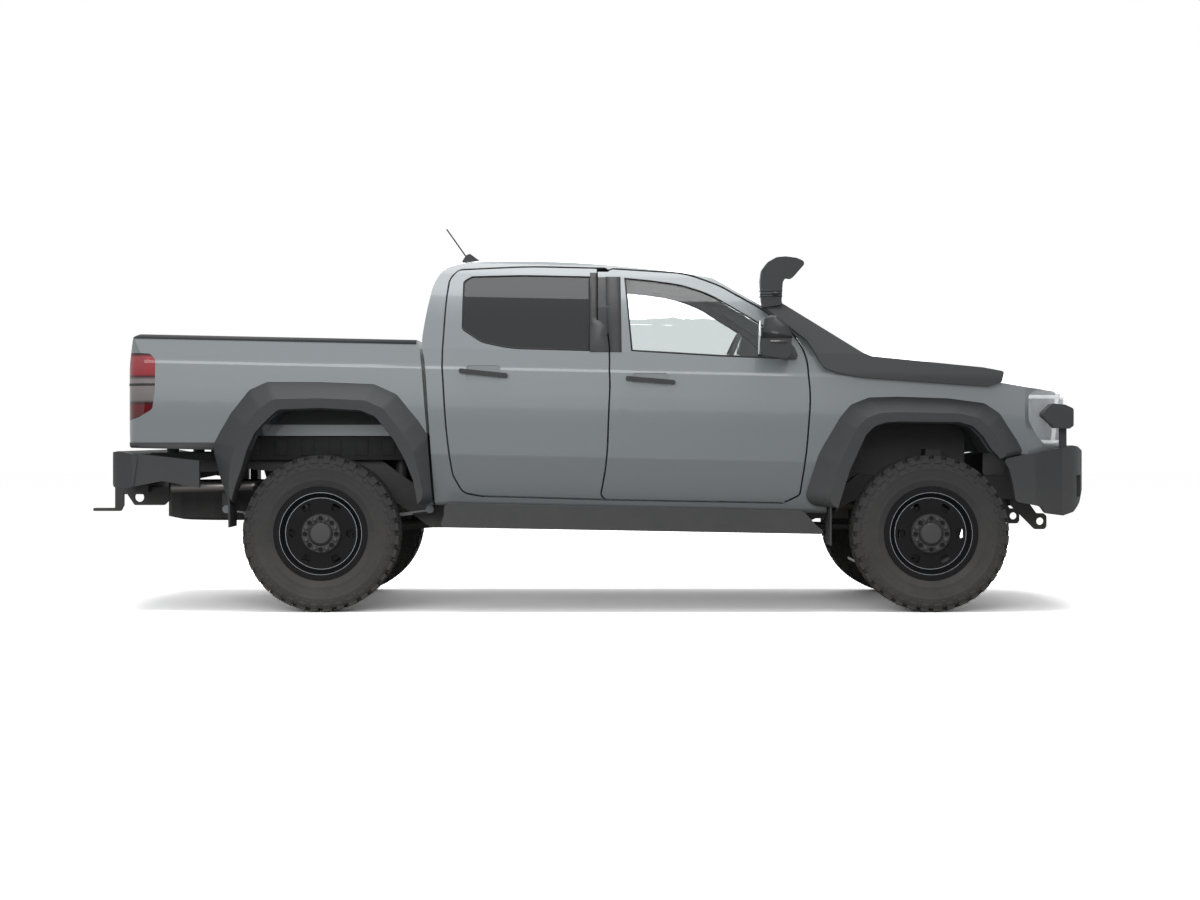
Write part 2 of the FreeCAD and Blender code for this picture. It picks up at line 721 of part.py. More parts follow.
bonnet_half = [Vector(along(row[0]), out(row[1]), 0) for row in BONNET_PLAN_SHARES]
bonnet_start = along(COWL_SHARE) + d.shut_gap
bonnet_loop = bonnet_half[1:-1] + [Vector(p.x, -p.y, 0) for p in reversed(bonnet_half[1:-1])]
bonnet_plan = outline_face(bonnet_loop, 0.0)
bonnet_prism = bonnet_plan.extrude(Vector(0, 0, tall))
bonnet_front = block(bonnet_start, along(1.40), -tall, tall, up(BONNET_LIP_SHARE), tall)
bonnet_shape = largest(nose_shell.common(bonnet_prism).common(bonnet_front))
bonnet_grown = bonnet_plan.makeOffset2D(d.panel_gap).extrude(Vector(0, 0, tall)).common(
    block(bonnet_start - d.shut_gap, along(1.40), -tall, tall, up(BONNET_LIP_SHARE) - d.panel_gap, tall))

# Bonnet hinges: a pin in the thickness of the rear edge, held by an arm from the cowl.
BONNET_HINGE_SIDE_SHARE = 0.640
bonnet_axis_x = bonnet_start + d.bonnet_hinge_reach
hinge_y = out(BONNET_HINGE_SIDE_SHARE)
probe = bar(Vector(bonnet_axis_x, hinge_y, 0), Vector(bonnet_axis_x, hinge_y, tall), d.seat_gap)
bonnet_axis_z = probe.common(bonnet_shape).BoundBox.ZMax - d.panel_skin / 2
pin_half = d.bonnet_pin_half
for sign in (LEFT, RIGHT):
    notch = block(bonnet_start - d.overrun, bonnet_axis_x + d.hinge_plate, sign * hinge_y - d.hinge_plate,
                  sign * hinge_y + d.hinge_plate, bonnet_axis_z - d.overrun,
                  bonnet_axis_z + d.pin_radius + d.seat_gap)
    bore = bar(Vector(bonnet_axis_x, sign * hinge_y - pin_half - d.seat_gap, bonnet_axis_z),
               Vector(bonnet_axis_x, sign * hinge_y + pin_half + d.seat_gap, bonnet_axis_z),
               d.bonnet_pin_radius + d.seat_gap)
    bonnet_shape = bonnet_shape.cut([notch, bore])
bonnet_shape = largest(bonnet_shape)
keep("bonnet", bonnet_shape)

bonnet_pins = []
for sign in (LEFT, RIGHT):
    half_plate = d.hinge_plate / 2
    pin = bar(Vector(bonnet_axis_x, sign * hinge_y - pin_half, bonnet_axis_z),
              Vector(bonnet_axis_x, sign * hinge_y + pin_half, bonnet_axis_z), d.bonnet_pin_radius)
    drop = d.bonnet_arm_drop
    down = block(bonnet_axis_x - half_plate, bonnet_axis_x + half_plate, sign * hinge_y - half_plate,
                 sign * hinge_y + half_plate, bonnet_axis_z - drop, bonnet_axis_z)
    back = block(along(COWL_SHARE) - d.soft_corner, bonnet_axis_x + half_plate, sign * hinge_y - half_plate,
                 sign * hinge_y + half_plate, bonnet_axis_z - drop - d.hinge_plate,
                 bonnet_axis_z - drop)
    bonnet_pins.append(joined([pin, down, back]))

# Room in the cowl for the bonnet's rear edge, which swings back as the nose goes up.
SWING_SIDE_SHARES = (0.000, 0.160, 0.320, 0.480, 0.640, 0.800)
swing_rows = []
for share in SWING_SIDE_SHARES:
    edge = block(bonnet_start, bonnet_start + 1, out(share), out(share) + 1, 0, tall).common(bonnet_shape)
    rise = max(edge.BoundBox.ZMax - bonnet_axis_z, 0.0)
    swing_rows.append((out(share), math.hypot(d.bonnet_hinge_reach, rise) + d.panel_gap))
swing_points = [Vector(bonnet_axis_x, side_y, bonnet_axis_z + reach) for side_y, reach in swing_rows]
swing_points += [Vector(bonnet_axis_x, swing_rows[-1][0], bonnet_axis_z),
                 Vector(bonnet_axis_x, 0, bonnet_axis_z)]
bonnet_swing = outline_face(swing_points, 0.0).revolve(
    Vector(bonnet_axis_x, 0, bonnet_axis_z), AXIS_Y, 360)

# Headlamps and the grille panel between them.
lamp_prism = across(side_points(LAMP_SHARES), out(LAMP_INNER_SHARE), out(1.100),
                    corner_radii(LAMP_SHARES, d.soft_corner))
lamp_shape = largest(nose_outer.cut(nose_solid(d.lamp_depth)).common(lamp_prism))
keep("headlamps", both(lamp_shape))
lamp_face = outline_face(side_points(LAMP_SHARES, out(LAMP_INNER_SHARE) - d.seat_gap),
                         corner_radii(LAMP_SHARES, d.soft_corner)).makeOffset2D(d.seat_gap)
lamp_grown = lamp_face.extrude(Vector(0, out(1.100), 0))
grille_half = out(LAMP_INNER_SHARE) - d.seat_gap
grille_box = block(along(1.150), along(1.300), -grille_half, grille_half, up(GRILLE_BOTTOM_SHARE),
                   up(GRILLE_TOP_SHARE))
grille = largest(nose_deep.common(grille_box))
grille_face = nose_outer.cut(nose_solid(d.pocket_depth))
slat_half = grille_half - d.soft_corner
for k in range(int(d.slat_count)):
    slot_low = up(GRILLE_BOTTOM_SHARE) + d.slat_gap + k * d.slat_pitch
    slot = block(along(1.150), along(1.300), -slat_half, slat_half, slot_low, slot_low + d.slat_gap)
    grille = grille.cut(slot.common(grille_face))
keep("grille_panel", largest(grille))

# Front wings: what is left of the skin on each side, ahead of the front door.
front_arch = across(axle_points(FRONT_ARCH_SHARES, front_axle_x), out(0.500), out(1.200),
                    corner_radii(FRONT_ARCH_SHARES, 2 * d.soft_corner))
door_zone = door_prism(front_grown)
wing = nose_shell.cut([bonnet_grown, lamp_grown, front_arch, door_zone])
wing = wing.cut([
    block(along(0.700), along(COWL_SHARE) + d.shut_gap, out(0.845), -tall, 0, tall),
    block(along(1.100), along(1.400), grille_half + d.seat_gap, -tall, 0, tall),
    block(along(0.700), along(1.400), out(0.400), -tall, 0, tall),
    block(front_axle_x, along(1.400), -tall, tall, 0, up(WING_BOTTOM_SHARE)),
])
wing = largest(wing)
keep("front_wings", both(wing))

# The cab gives way to the wings' skin and carries the bonnet's hinge arms.
wing_room = nose_outer.cut(nose_solid(d.panel_skin + d.seat_gap)).cut(door_zone)
wing_room = wing_room.cut(block(along(0.700), along(1.400), out(0.845) - d.seat_gap, -tall, 0, tall))
cab_shape = cab_shape.cut([wing_room, mirrored(wing_room), bonnet_swing, mirrored(bonnet_swing)])
cab_shape = largest(cab_shape.fuse(bonnet_pins))
nodes["cab_shell"].Shape = cab_shape


# Load bed: side outline, inner space, wheel boxes, and the tailgate between its rear posts.
BED_SHARES = [
    (-0.300, 0.770, 0.005), (0.1585, 0.754, 0.0), (0.1640, 0.680, 0.0), (0.1820, 0.290, 0.0),
    (0.100, 0.290, 0.0), (0.060, 0.440, 0.0), (-0.318, 0.455, 0.003), (-0.3215, 0.527, 0.02),
    (-0.3280, 0.593, 0.02), (-0.3240, 0.643, 0.02), (-0.3160, 0.721, 0.02), (-0.3120, 0.762, 0.005),
]
BED_PLAN_SHARES = [(-0.250, 1.060), (-0.285, 1.010, 20.0), (-0.320, 0.940, 4.0), (-0.332, 0.500, 90.0)]
TAIL_LAMP_SHARES = [
    (-0.340, 0.721, 0.0), (-0.282, 0.717), (-0.273, 0.700), (-0.274, 0.616), (-0.278, 0.563),
    (-0.300, 0.541), (-0.340, 0.520, 0.0),
]
TAIL_LAMP_INNER_SHARE = 0.800
GATE_BOTTOM_SHARE = 0.470


def flat_prism(rows, start_y, end_y, curve):
    """Prism across the truck of a side outline in shares."""
    return across(side_points(rows), start_y, end_y, corner_radii(rows, curve))


bed_full = flat_prism(BED_SHARES, -out(1.100), out(1.100), d.long_curve).common(body_section)
bed_plan_loop = [(0.250, 1.060, 0.0)] + BED_PLAN_SHARES
bed_full = bed_full.common(plan_prism(bed_plan_loop))
bed_front_x = along(0.1585)
bed_rear_x = along(-0.3280)
gate_inner_x = bed_rear_x + d.gate_thickness + d.gate_space
space_half = d.half_width - d.bed_side
bed_space = block(bed_rear_x - d.overrun, bed_front_x - d.bed_front_wall, -space_half, space_half,
                  d.bed_floor_top, tall)
bed_under = block(gate_inner_x + d.rear_sill, along(0.250), -out(0.880), out(0.880), 0,
                  d.bed_floor_top - d.bed_floor_thickness)
bed_shape = bed_full.cut([bed_space, bed_under])

# Wheel boxes inside the bed, hollow above the tyres.
box_start = rear_axle_x - d.wheel_box_half_length
box_end = rear_axle_x + d.wheel_box_half_length
box_outer = block(box_start, box_end, d.wheel_box_inner, space_half + d.wheel_box_wall,
                  d.bed_floor_top - d.bed_floor_thickness, d.wheel_box_top)
rear_arch = across(axle_points(REAR_ARCH_SHARES, rear_axle_x), d.wheel_box_inner + d.wheel_box_wall,
                   out(1.200), corner_radii(REAR_ARCH_SHARES, 2 * d.soft_corner))
bed_shape = bed_shape.fuse([box_outer, mirrored(box_outer)])
bed_shape = bed_shape.cut([rear_arch, mirrored(rear_arch)])
gate_zone = block(bed_rear_x - d.overrun, gate_inner_x, -d.gate_half_width, d.gate_half_width, 0, tall)
bed_shape = bed_shape.cut(gate_zone)

# Tail lamps in the rear corners.
tail_prism = flat_prism(TAIL_LAMP_SHARES, out(TAIL_LAMP_INNER_SHARE), out(1.100), d.soft_corner)
tail_face = outline_face(side_points(TAIL_LAMP_SHARES, out(TAIL_LAMP_INNER_SHARE) - d.seat_gap),
                         corner_radii(TAIL_LAMP_SHARES, d.soft_corner)).makeOffset2D(d.seat_gap)
tail_room = tail_face.extrude(Vector(0, out(1.100), 0))
tail_lamp = largest(bed_full.common(tail_prism))
keep("tail_lamps", both(tail_lamp))
bed_shape = bed_shape.cut([tail_room, mirrored(tail_room)])

# Tailgate on two trunnions in the rear posts.
gate_side = d.gate_half_width - d.panel_gap
gate_block = block(bed_rear_x - d.overrun, gate_inner_x + d.rear_sill, -gate_side, gate_side,
                   up(GATE_BOTTOM_SHARE), tall)
gate_back = bed_full.copy()
gate_back.translate(Vector(d.gate_thickness, 0, 0))
gate_axis_x = bed_rear_x + d.soft_corner
gate_axis_z = d.gate_hinge_height
gate_shape = largest(bed_full.common(gate_block).cut(gate_back))
trunnion = bar(Vector(gate_axis_x, gate_side - d.soft_corner, gate_axis_z),
               Vector(gate_axis_x, gate_side + d.trunnion_length, gate_axis_z), d.trunnion_radius)
gate_shape = joined([gate_shape, trunnion, mirrored(trunnion)])
GATE_HANDLE_SHARES = {"y": 0.110, "z": (0.694, 0.726)}
recess = block(bed_rear_x - d.overrun, gate_inner_x, -out(GATE_HANDLE_SHARES["y"]),
               out(GATE_HANDLE_SHARES["y"]), up(GATE_HANDLE_SHARES["z"][0]), up(GATE_HANDLE_SHARES["z"][1]))
recess_back = bed_full.copy()
recess_back.translate(Vector(2 * d.cup_depth, 0, 0))
gate_shape = gate_shape.cut(recess.cut(recess_back))
keep("tailgate", gate_shape)
trunnion_room = bar(Vector(gate_axis_x, 0, gate_axis_z),
                    Vector(gate_axis_x, gate_side + d.trunnion_length + d.panel_gap, gate_axis_z),
                    d.trunnion_radius + d.seat_gap)
bed_shape = bed_shape.cut([trunnion_room, mirrored(trunnion_room)])
bed_shape = largest(bed_shape)
keep("load_bed", bed_shape)

# Wheel arch flares, each lofted between its outline on the body and its crest.
FRONT_FLARE_SHARES = [
    (-1.637, 1.292), (-1.423, 2.002), (-1.169, 2.485), (-1.031, 2.656), (-0.793, 2.751),
    (-0.406, 2.762), (0.228, 2.739), (0.703, 2.677), (0.900, 2.549), (1.116, 2.192), (1.204, 2.002),
]
FRONT_CREST_SHARES = [
    (-1.367, 1.250), (-1.176, 1.879), (-0.956, 2.337), (-0.833, 2.471), (-0.651, 2.536),
    (-0.406, 2.545), (0.309, 2.532), (0.581, 2.478), (0.734, 2.349), (0.879, 2.118), (0.964, 1.990),
]
REAR_FLARE_SHARES = [
    (-1.185, 1.380), (-1.295, 1.722), (-1.371, 2.026), (-1.371, 2.154), (-1.166, 2.549),
    (-0.936, 2.850), (-0.698, 2.952), (0.000, 2.948), (0.679, 2.922), (0.976, 2.789),
    (1.245, 2.447), (1.368, 2.233), (1.420, 1.812), (1.485, 1.368),
]
REAR_CREST_SHARES = [
    (-1.147, 1.394), (-1.153, 1.640), (-1.130, 1.887), (-1.080, 2.098), (-0.946, 2.374),
    (-0.766, 2.588), (-0.589, 2.710), (0.000, 2.721), (0.570, 2.695), (0.799, 2.597),
    (1.048, 2.281), (1.182, 2.041), (1.266, 1.729), (1.329, 1.359),
]


def flare(foot_rows, crest_rows, axle_x, arch, seats):
    """Left flare seated on the body's side."""
    foot_y = d.half_width - 2 * d.overrun
    crest_y = d.half_width + d.flare_reach
    radius = [2 * d.soft_corner] * len(foot_rows)
    middle_y = d.half_width - d.flare_seat
    foot = [Vector(p.x, middle_y, p.z) for p in axle_points(foot_rows, axle_x)]
    crest = [Vector(p.x, crest_y, p.z) for p in axle_points(crest_rows, axle_x)]
    skirt = outline_face([Vector(p.x, foot_y, p.z) for p in foot], radius)
    skirt = skirt.extrude(Vector(0, middle_y - foot_y, 0))
    loft = Part.makeLoft([rounded_wire(foot, radius), rounded_wire(crest, radius)], True, True)
    return largest(skirt.fuse(loft).cut(arch).cut(seats))


# Side outline of the front bumper, which the front flares stop short of.
BUMPER_SHARES = [
    (1.116, 0.424), (1.126, 0.399), (1.133, 0.352), (1.137, 0.307), (1.179, 0.293), (1.187, 0.274),
    (1.218, 0.267), (1.241, 0.276), (1.260, 0.304), (1.277, 0.353), (1.284, 0.390), (1.284, 0.419),
    (1.277, 0.442), (1.251, 0.459), (1.238, 0.462),
]
bumper_side = across(side_points(BUMPER_SHARES), -out(1.100), out(1.100),
                     corner_radii(BUMPER_SHARES, d.soft_corner))
bumper_room = bumper_side.copy()
bumper_room.translate(Vector(0, 0, d.panel_gap))
front_flare = flare(FRONT_FLARE_SHARES, FRONT_CREST_SHARES, front_axle_x, front_arch,
                    [nose_outer, cab_outer, bumper_side, bumper_room])
rear_flare = flare(REAR_FLARE_SHARES, REAR_CREST_SHARES, rear_axle_x, rear_arch, [bed_full, cab_outer])
cab_side = across(side_points([(0.186, 0.200), (0.161, 0.780), (0.400, 0.780), (0.400, 0.200)]),
                  0, out(1.200))
rear_flare = largest(rear_flare.cut(cab_side))

# Mud flaps behind the tyres.
FLAP_SHARES = {"front": (-1.290, 1.360, 0.850), "rear": (-1.170, 1.500, 1.080)}


def flap(axle_x, rows):
    """Sheet that hangs behind a tyre."""
    place, top, bottom = [share * d.tyre_radius for share in rows]
    return block(axle_x + place, axle_x + place + d.flap_thickness, wheel_y - d.flap_half_width,
                 wheel_y + d.flap_half_width, bottom, top)


front_flap = flap(front_axle_x, FLAP_SHARES["front"])
rear_flap = flap(rear_axle_x, FLAP_SHARES["rear"])
flare_pieces = [joined([front_flare, front_flap]), joined([rear_flare, rear_flap])]
keep("wheel_flares", Part.makeCompound(flare_pieces + [mirrored(piece) for piece in flare_pieces]))



# Wheels: each is a tyre and a rim with its hub and brake disc, made on an axle along Y.
TYRE_SIDE_SHARES = [(0.000, 0.910), (0.430, 0.910), (0.500, 0.520), (0.452, 0.200), (0.386, 0.130)]
hub_face_y = d.knuckle_thickness / 2 + d.seat_gap
disc_outer_y = d.rim_width / 2 - d.disc_setback
disc_inner_y = disc_outer_y - d.disc_thickness
well_radius = (d.disc_radius + d.bead_radius) / 2 - d.seat_gap
bead_seat = d.bead_radius + d.seat_gap
tyre_height = d.tyre_radius - bead_seat


def wheel_place(axle_x, side):
    """Placement of a wheel made at the origin, with its outer face to the outside."""
    turn = 0 if side == LEFT else 180
    return Placement(Vector(axle_x, side * wheel_y, d.tyre_radius), Rotation(AXIS_Z, turn))


def ring_points(offset, radius, sides):
    """Points of a closed ring of equal sides about the axle."""
    step = 2 * math.pi / sides
    angles = [step * k + step / 2 for k in range(int(sides) + 1)]
    return [Vector(radius * math.sin(angle), offset, radius * math.cos(angle)) for angle in angles]


def flat_face(points):
    """Plane face with straight edges through the points."""
    return Part.Face(Part.makePolygon(points + points[:1]))


def tyre_side(rows, width, seat, height, sides):
    """Half of a tyre's carcass in flat facets, from the middle of the tread to the bead."""
    rings = [ring_points(y * width, seat + z * height, sides) for y, z in rows]
    faces = [flat_face(rings[0][:-1]), flat_face(rings[-1][:-1])]
    for near, far in zip(rings, rings[1:]):
        for k in range(int(sides)):
            faces.append(flat_face([near[k], near[k + 1], far[k + 1], far[k]]))
    return Part.Solid(Part.Shell(faces))


def tread_row(shift, end_y):
    """Row of lugs from the middle of the tread to a shoulder."""
    pitch = 2 * math.pi / d.lug_count
    half = math.radians(d.lug_angle) / 2
    base = d.tyre_radius - d.lug_height
    points = []
    for k in range(int(d.lug_count)):
        middle = pitch * (k + shift)
        corners = [(-half, base), (-half, d.tyre_radius), (half, d.tyre_radius), (half, base)]
        for angle, radius in corners:
            points.append(Vector(radius * math.sin(middle + angle), 0, -radius * math.cos(middle + angle)))
    return flat_face(points).extrude(Vector(0, end_y, 0))


def bead_hole(seat, width, sides):
    """Opening of a tyre, whose flats sit on the rim."""
    start = ring_points(-width, seat / math.cos(math.pi / sides), sides)
    return flat_face(start[:-1]).extrude(Vector(0, 2 * width, 0))


shoulder_y = TYRE_SIDE_SHARES[1][0] * d.tyre_width
half_carcass = tyre_side(TYRE_SIDE_SHARES, d.tyre_width, bead_seat, tyre_height, d.tyre_sides)
LUG_SHIFT_SHARE = 0.25
tread_hole = bead_hole(d.tyre_radius - 3 * d.lug_height, d.tyre_width, d.tyre_sides)
tread_rows = [tread_row(LUG_SHIFT_SHARE, shoulder_y), tread_row(-LUG_SHIFT_SHARE, -shoulder_y)]
tread_rows = [row.cut(tread_hole) for row in tread_rows]
carcass = [half_carcass, half_carcass.mirror(Vector(0, 0, 0), AXIS_Y)]
tyre_shape = joined(carcass + tread_rows).cut(bead_hole(bead_seat, d.tyre_width, d.tyre_sides))


def make_rim(name, place):
    """Dished steel rim with its hub, brake disc, ventilation holes, cover and nuts."""
    body = make_body(name)
    half = d.rim_width / 2
    wall = d.rim_wall
    brake_y = hub_face_y + d.rim_wall
    well_inner = well_radius - wall
    bead_inner = d.bead_radius - wall
    cover_y = disc_outer_y + d.hub_cover_height
    cap_y = cover_y + d.centre_cap_height
    bore_y = hub_face_y + d.spindle_length + d.seat_gap
    bore = d.spindle_radius + d.seat_gap
    section = [
        (hub_face_y, bore), (hub_face_y, d.hub_radius), (brake_y, d.hub_radius),
        (brake_y, d.brake_radius), (brake_y + d.brake_thickness, d.brake_radius),
        (brake_y + d.brake_thickness, d.hub_radius), (disc_inner_y, d.hub_radius),
        (disc_inner_y, d.disc_radius - wall), (disc_inner_y - 2 * wall, well_inner),
        (brake_y - wall, well_inner), (-brake_y, bead_inner), (-half, bead_inner),
        (-half, d.flange_radius), (wall - half, d.flange_radius), (wall - half, d.bead_radius),
        (-brake_y, d.bead_radius), (0, well_radius), (disc_inner_y - wall, well_radius),
        (disc_outer_y, d.bead_radius), (half - wall, d.bead_radius), (half - wall, d.flange_radius),
        (half, d.flange_radius), (half, bead_inner), (disc_outer_y + wall, d.disc_radius + wall),
        (disc_outer_y, d.disc_radius), (disc_outer_y, d.hub_cover_radius),
        (cover_y, d.hub_cover_radius), (cover_y, d.centre_cap_radius), (cap_y, d.cap_face_radius),
        (cap_y, 0), (bore_y, 0), (bore_y, bore),
    ]
    profile = make_sketch(body, name + "_section", "YZ_Plane", section)
    revolve(body, name + "_turned", profile, "H_Axis")
    inner_r = d.hole_ring_radius - d.hole_length / 2
    outer_r = d.hole_ring_radius + d.hole_length / 2
    hole_points = [
        (inner_r, -d.hole_inner_width / 2), (outer_r, -d.hole_outer_width / 2),
        (outer_r, d.hole_outer_width / 2), (inner_r, d.hole_inner_width / 2),
    ]
    hole = make_sketch(body, name + "_hole", "XZ_Plane", hole_points, d.rim_wall)
    hole.AttachmentOffset = Placement(Vector(0, 0, -(disc_outer_y + wall)), Rotation())
    pocket = body.newObject("PartDesign::Pocket", name + "_vent")
    pocket.Profile = hole
    pocket.Length = d.disc_thickness + 2 * wall
    pocket.setExpression("Length", "Sizes.disc_thickness + 2 * Sizes.rim_wall")
    pocket.Reversed = True
    ring = body.newObject("PartDesign::PolarPattern", name + "_vents")
    ring.Originals = [pocket]
    ring.Axis = (origin_feature(body, "Y_Axis"), [""])
    ring.Angle = 360.0
    ring.setExpression("Occurrences", "Sizes.hole_count")
    body.Tip = ring
    nut = circle_sketch(body, name + "_nut", "XZ_Plane", (d.nut_ring_radius, 0), "nut_radius")
    nut.AttachmentOffset = Placement(Vector(0, 0, -cover_y), Rotation())
    stud = body.newObject("PartDesign::Pad", name + "_stud")
    stud.Profile = nut
    stud.setExpression("Length", "Sizes.nut_height")
    stud.Reversed = True
    nuts = body.newObject("PartDesign::PolarPattern", name + "_nuts")
    nuts.Originals = [stud]
    nuts.Axis = (origin_feature(body, "Y_Axis"), [""])
    nuts.Angle = 360.0
    nuts.setExpression("Occurrences", "Sizes.nut_count")
    body.Tip = nuts
    body.Placement = place
    return body


AXLES = {"front": front_axle_x, "rear": rear_axle_x}
for axle_name, axle_x in AXLES.items():
    for side_name, side in SIDES.items():
        place = wheel_place(axle_x, side)
        wheel_name = axle_name + "_" + side_name
        tyre = tyre_shape.copy()
        tyre.Placement = place
        keep("tyre_" + wheel_name, tyre)
        keep_object("rim_" + wheel_name, make_rim("rim_" + wheel_name, place))
doc.recompute()


# Ladder frame: two kicked rails, cross tubes, body mounts and the brackets of the suspension.
RAIL_SHARES = [
    (-0.316, 0.385), (-0.200, 0.385), (-0.150, 0.395), (0.060, 0.360), (0.170, 0.225), (0.790, 0.225),
    (0.900, 0.310), (1.250, 0.305), (1.250, 0.372), (0.895, 0.378), (0.838, 0.298), (0.185, 0.298),
    (0.075, 0.432), (-0.140, 0.442), (-0.210, 0.440), (-0.316, 0.440),
]
CROSS_TUBE_SHARES = [(-0.270, 0.412), (-0.183, 0.420), (0.110, 0.345), (0.480, 0.237), (1.180, 0.340)]
MOUNT_SHARES = [0.240, 0.420, 0.660, 0.800]
rail_inner = d.rail_offset - d.rail_width / 2
rail_outer = d.rail_offset + d.rail_width / 2
rail = across(side_points(RAIL_SHARES), rail_inner, rail_outer, corner_radii(RAIL_SHARES, 2 * d.soft_corner))
frame_pieces = [rail, mirrored(rail)]
for x_share, z_share in CROSS_TUBE_SHARES:
    centre = Vector(along(x_share), 0, up(z_share))
    span = Vector(0, rail_inner + d.rail_width / 2, 0)
    frame_pieces.append(bar(centre - span, centre + span, d.cross_radius))
floor_under = up(FLOOR_CUT_SHARE)
for share in MOUNT_SHARES:
    for side in (LEFT, RIGHT):
        outer_y = rail_outer + d.mount_radius
        pad = block(along(share) - d.mount_radius, along(share) + d.mount_radius,
                    side * d.rail_offset, side * (outer_y + d.mount_radius),
                    up(0.270), up(0.270) + d.arm_thickness)
        puck = bar(Vector(along(share), side * outer_y, up(0.272)),
                   Vector(along(share), side * outer_y, floor_under - d.seat_gap), d.puck_radius)
        frame_pieces += [pad, puck]

# Front suspension brackets and beams under the front rails.
lower_z = d.kingpin_low - d.ball_radius - d.arm_thickness / 2 - d.seat_gap
upper_z = d.kingpin_high + d.ball_radius + d.arm_thickness / 2 + d.seat_gap
for sign in (LEFT, RIGHT):
    place_x = front_axle_x + sign * d.arm_spread
    half = d.arm_pivot_radius
    beam = block(place_x - half, place_x + half, -rail_inner, rail_inner, lower_z - half, lower_z + half)
    frame_pieces.append(beam)
    for side in (LEFT, RIGHT):
        leg = block(place_x - half, place_x + half, side * (rail_inner - half),
                    side * (rail_inner + half / 2), lower_z - half, up(0.330))
        frame_pieces.append(leg)
TOWER_LOW_SHARE = 0.430
TOWER_TOP_SHARE = 0.450
TOWER_ROOT_SHARE = 0.330
tower_x = front_axle_x + d.coil_radius + d.shaft_radius + d.joint_clearance
tower_y = rail_outer + d.coil_radius + d.joint_clearance
for side in (LEFT, RIGHT):
    tower = block(tower_x - d.coil_radius, tower_x + d.coil_radius, side * (rail_outer - d.hinge_plate),
                  side * (tower_y + d.coil_radius), up(TOWER_LOW_SHARE), up(TOWER_TOP_SHARE))
    brace = block(tower_x - d.coil_radius, tower_x + d.coil_radius, side * (rail_outer - d.hinge_plate),
                  side * rail_inner, up(TOWER_ROOT_SHARE), up(TOWER_TOP_SHARE))
    frame_pieces += [tower, brace]

# Rear spring hangers, bed mounts, front beam and the cross beam at the rear.
spring_low = d.tyre_radius + d.axle_radius + d.seat_gap
spring_eye_z = spring_low + d.spring_leaves * d.spring_leaf + d.spring_rise
hanger_low = spring_eye_z + d.spring_eye_radius + d.seat_gap
HANGER_TOP_SHARES = {1: 0.304, -1: 0.420}
for sign, top_share in HANGER_TOP_SHARES.items():
    hanger_x = rear_axle_x + sign * d.spring_half_length
    for side in (LEFT, RIGHT):
        hanger = block(hanger_x - d.spring_eye_radius, hanger_x + d.spring_eye_radius,
                       side * (rail_outer - d.hinge_plate), side * (d.spring_offset + d.spring_width / 2),
                       hanger_low, up(top_share))
        frame_pieces.append(hanger)
front_beam_x = along(1.2500)
rear_beam_x = along(-0.3300)
front_beam = block(along(1.2350), front_beam_x, -out(0.520), out(0.520), up(0.310), up(0.368))
REAR_BEAM_SHARES = {"end": -0.3080, "y": 0.560, "z": (0.3280, 0.4200)}
rear_beam_y = out(REAR_BEAM_SHARES["y"])
rear_beam_z = [up(share) for share in REAR_BEAM_SHARES["z"]]
rear_beam = block(rear_beam_x, along(REAR_BEAM_SHARES["end"]), -rear_beam_y, rear_beam_y, rear_beam_z[0],
                  rear_beam_z[1])
receiver_z = up(0.3310)
receiver_start_x = along(-0.3780)
receiver = block(receiver_start_x, rear_beam_x + d.soft_corner, -d.hitch_width / 2, d.hitch_width / 2,
                 receiver_z - d.hitch_width / 2, receiver_z + d.hitch_width / 2)
frame_pieces += [front_beam, rear_beam, receiver]

bed_underside = d.bed_floor_top - d.bed_floor_thickness
BED_MOUNT_SHARES = {-0.270: 0.400, 0.120: 0.340}
for share, low_share in BED_MOUNT_SHARES.items():
    for side in (LEFT, RIGHT):
        puck = bar(Vector(along(share), side * d.rail_offset, up(low_share)),
                   Vector(along(share), side * d.rail_offset, bed_underside - d.seat_gap),
                   d.puck_radius)
        frame_pieces.append(puck)
receiver_bore = block(receiver_start_x - d.overrun, rear_beam_x + d.soft_corner / 2, -d.hitch_bore / 2,
                      d.hitch_bore / 2, receiver_z - d.hitch_bore / 2, receiver_z + d.hitch_bore / 2)
frame_shape = joined(frame_pieces).cut(receiver_bore)
keep("ladder_frame", frame_shape)

# Recovery eyes: a hook under each front rail and a plate under each end of the rear beam.
HOOK_SHARES = [
    (1.1566, 0.3101), (1.1566, 0.2889), (1.1908, 0.2315), (1.1976, 0.2196), (1.2144, 0.2196),
    (1.2180, 0.2274), (1.2180, 0.2584), (1.2128, 0.2656), (1.2006, 0.2656), (1.1823, 0.3101),
]
EYE_PLATE_SHARES = [
    (-0.3544, 0.3318), (-0.3373, 0.2884), (-0.2859, 0.2884), (-0.2774, 0.3028), (-0.2774, 0.3400),
    (-0.3510, 0.3400),
]
HOOK_HOLE_SHARES = (1.2070, 0.2425)
PLATE_HOLE_SHARES = (-0.3290, 0.3110)
eye_plate_y = out(0.430)


def recovery_eye(rows, hole_shares, middle_y, hole_radius):
    """Upright plate along the truck with a round hole across it."""
    near = middle_y - d.recovery_thickness / 2
    far = middle_y + d.recovery_thickness / 2
    plate = across(side_points(rows), near, far, corner_radii(rows, d.soft_corner / 2))
    centre = Vector(along(hole_shares[0]), near - d.overrun, up(hole_shares[1]))
    return plate.cut(bar(centre, centre + Vector(0, 3 * d.overrun, 0), hole_radius))


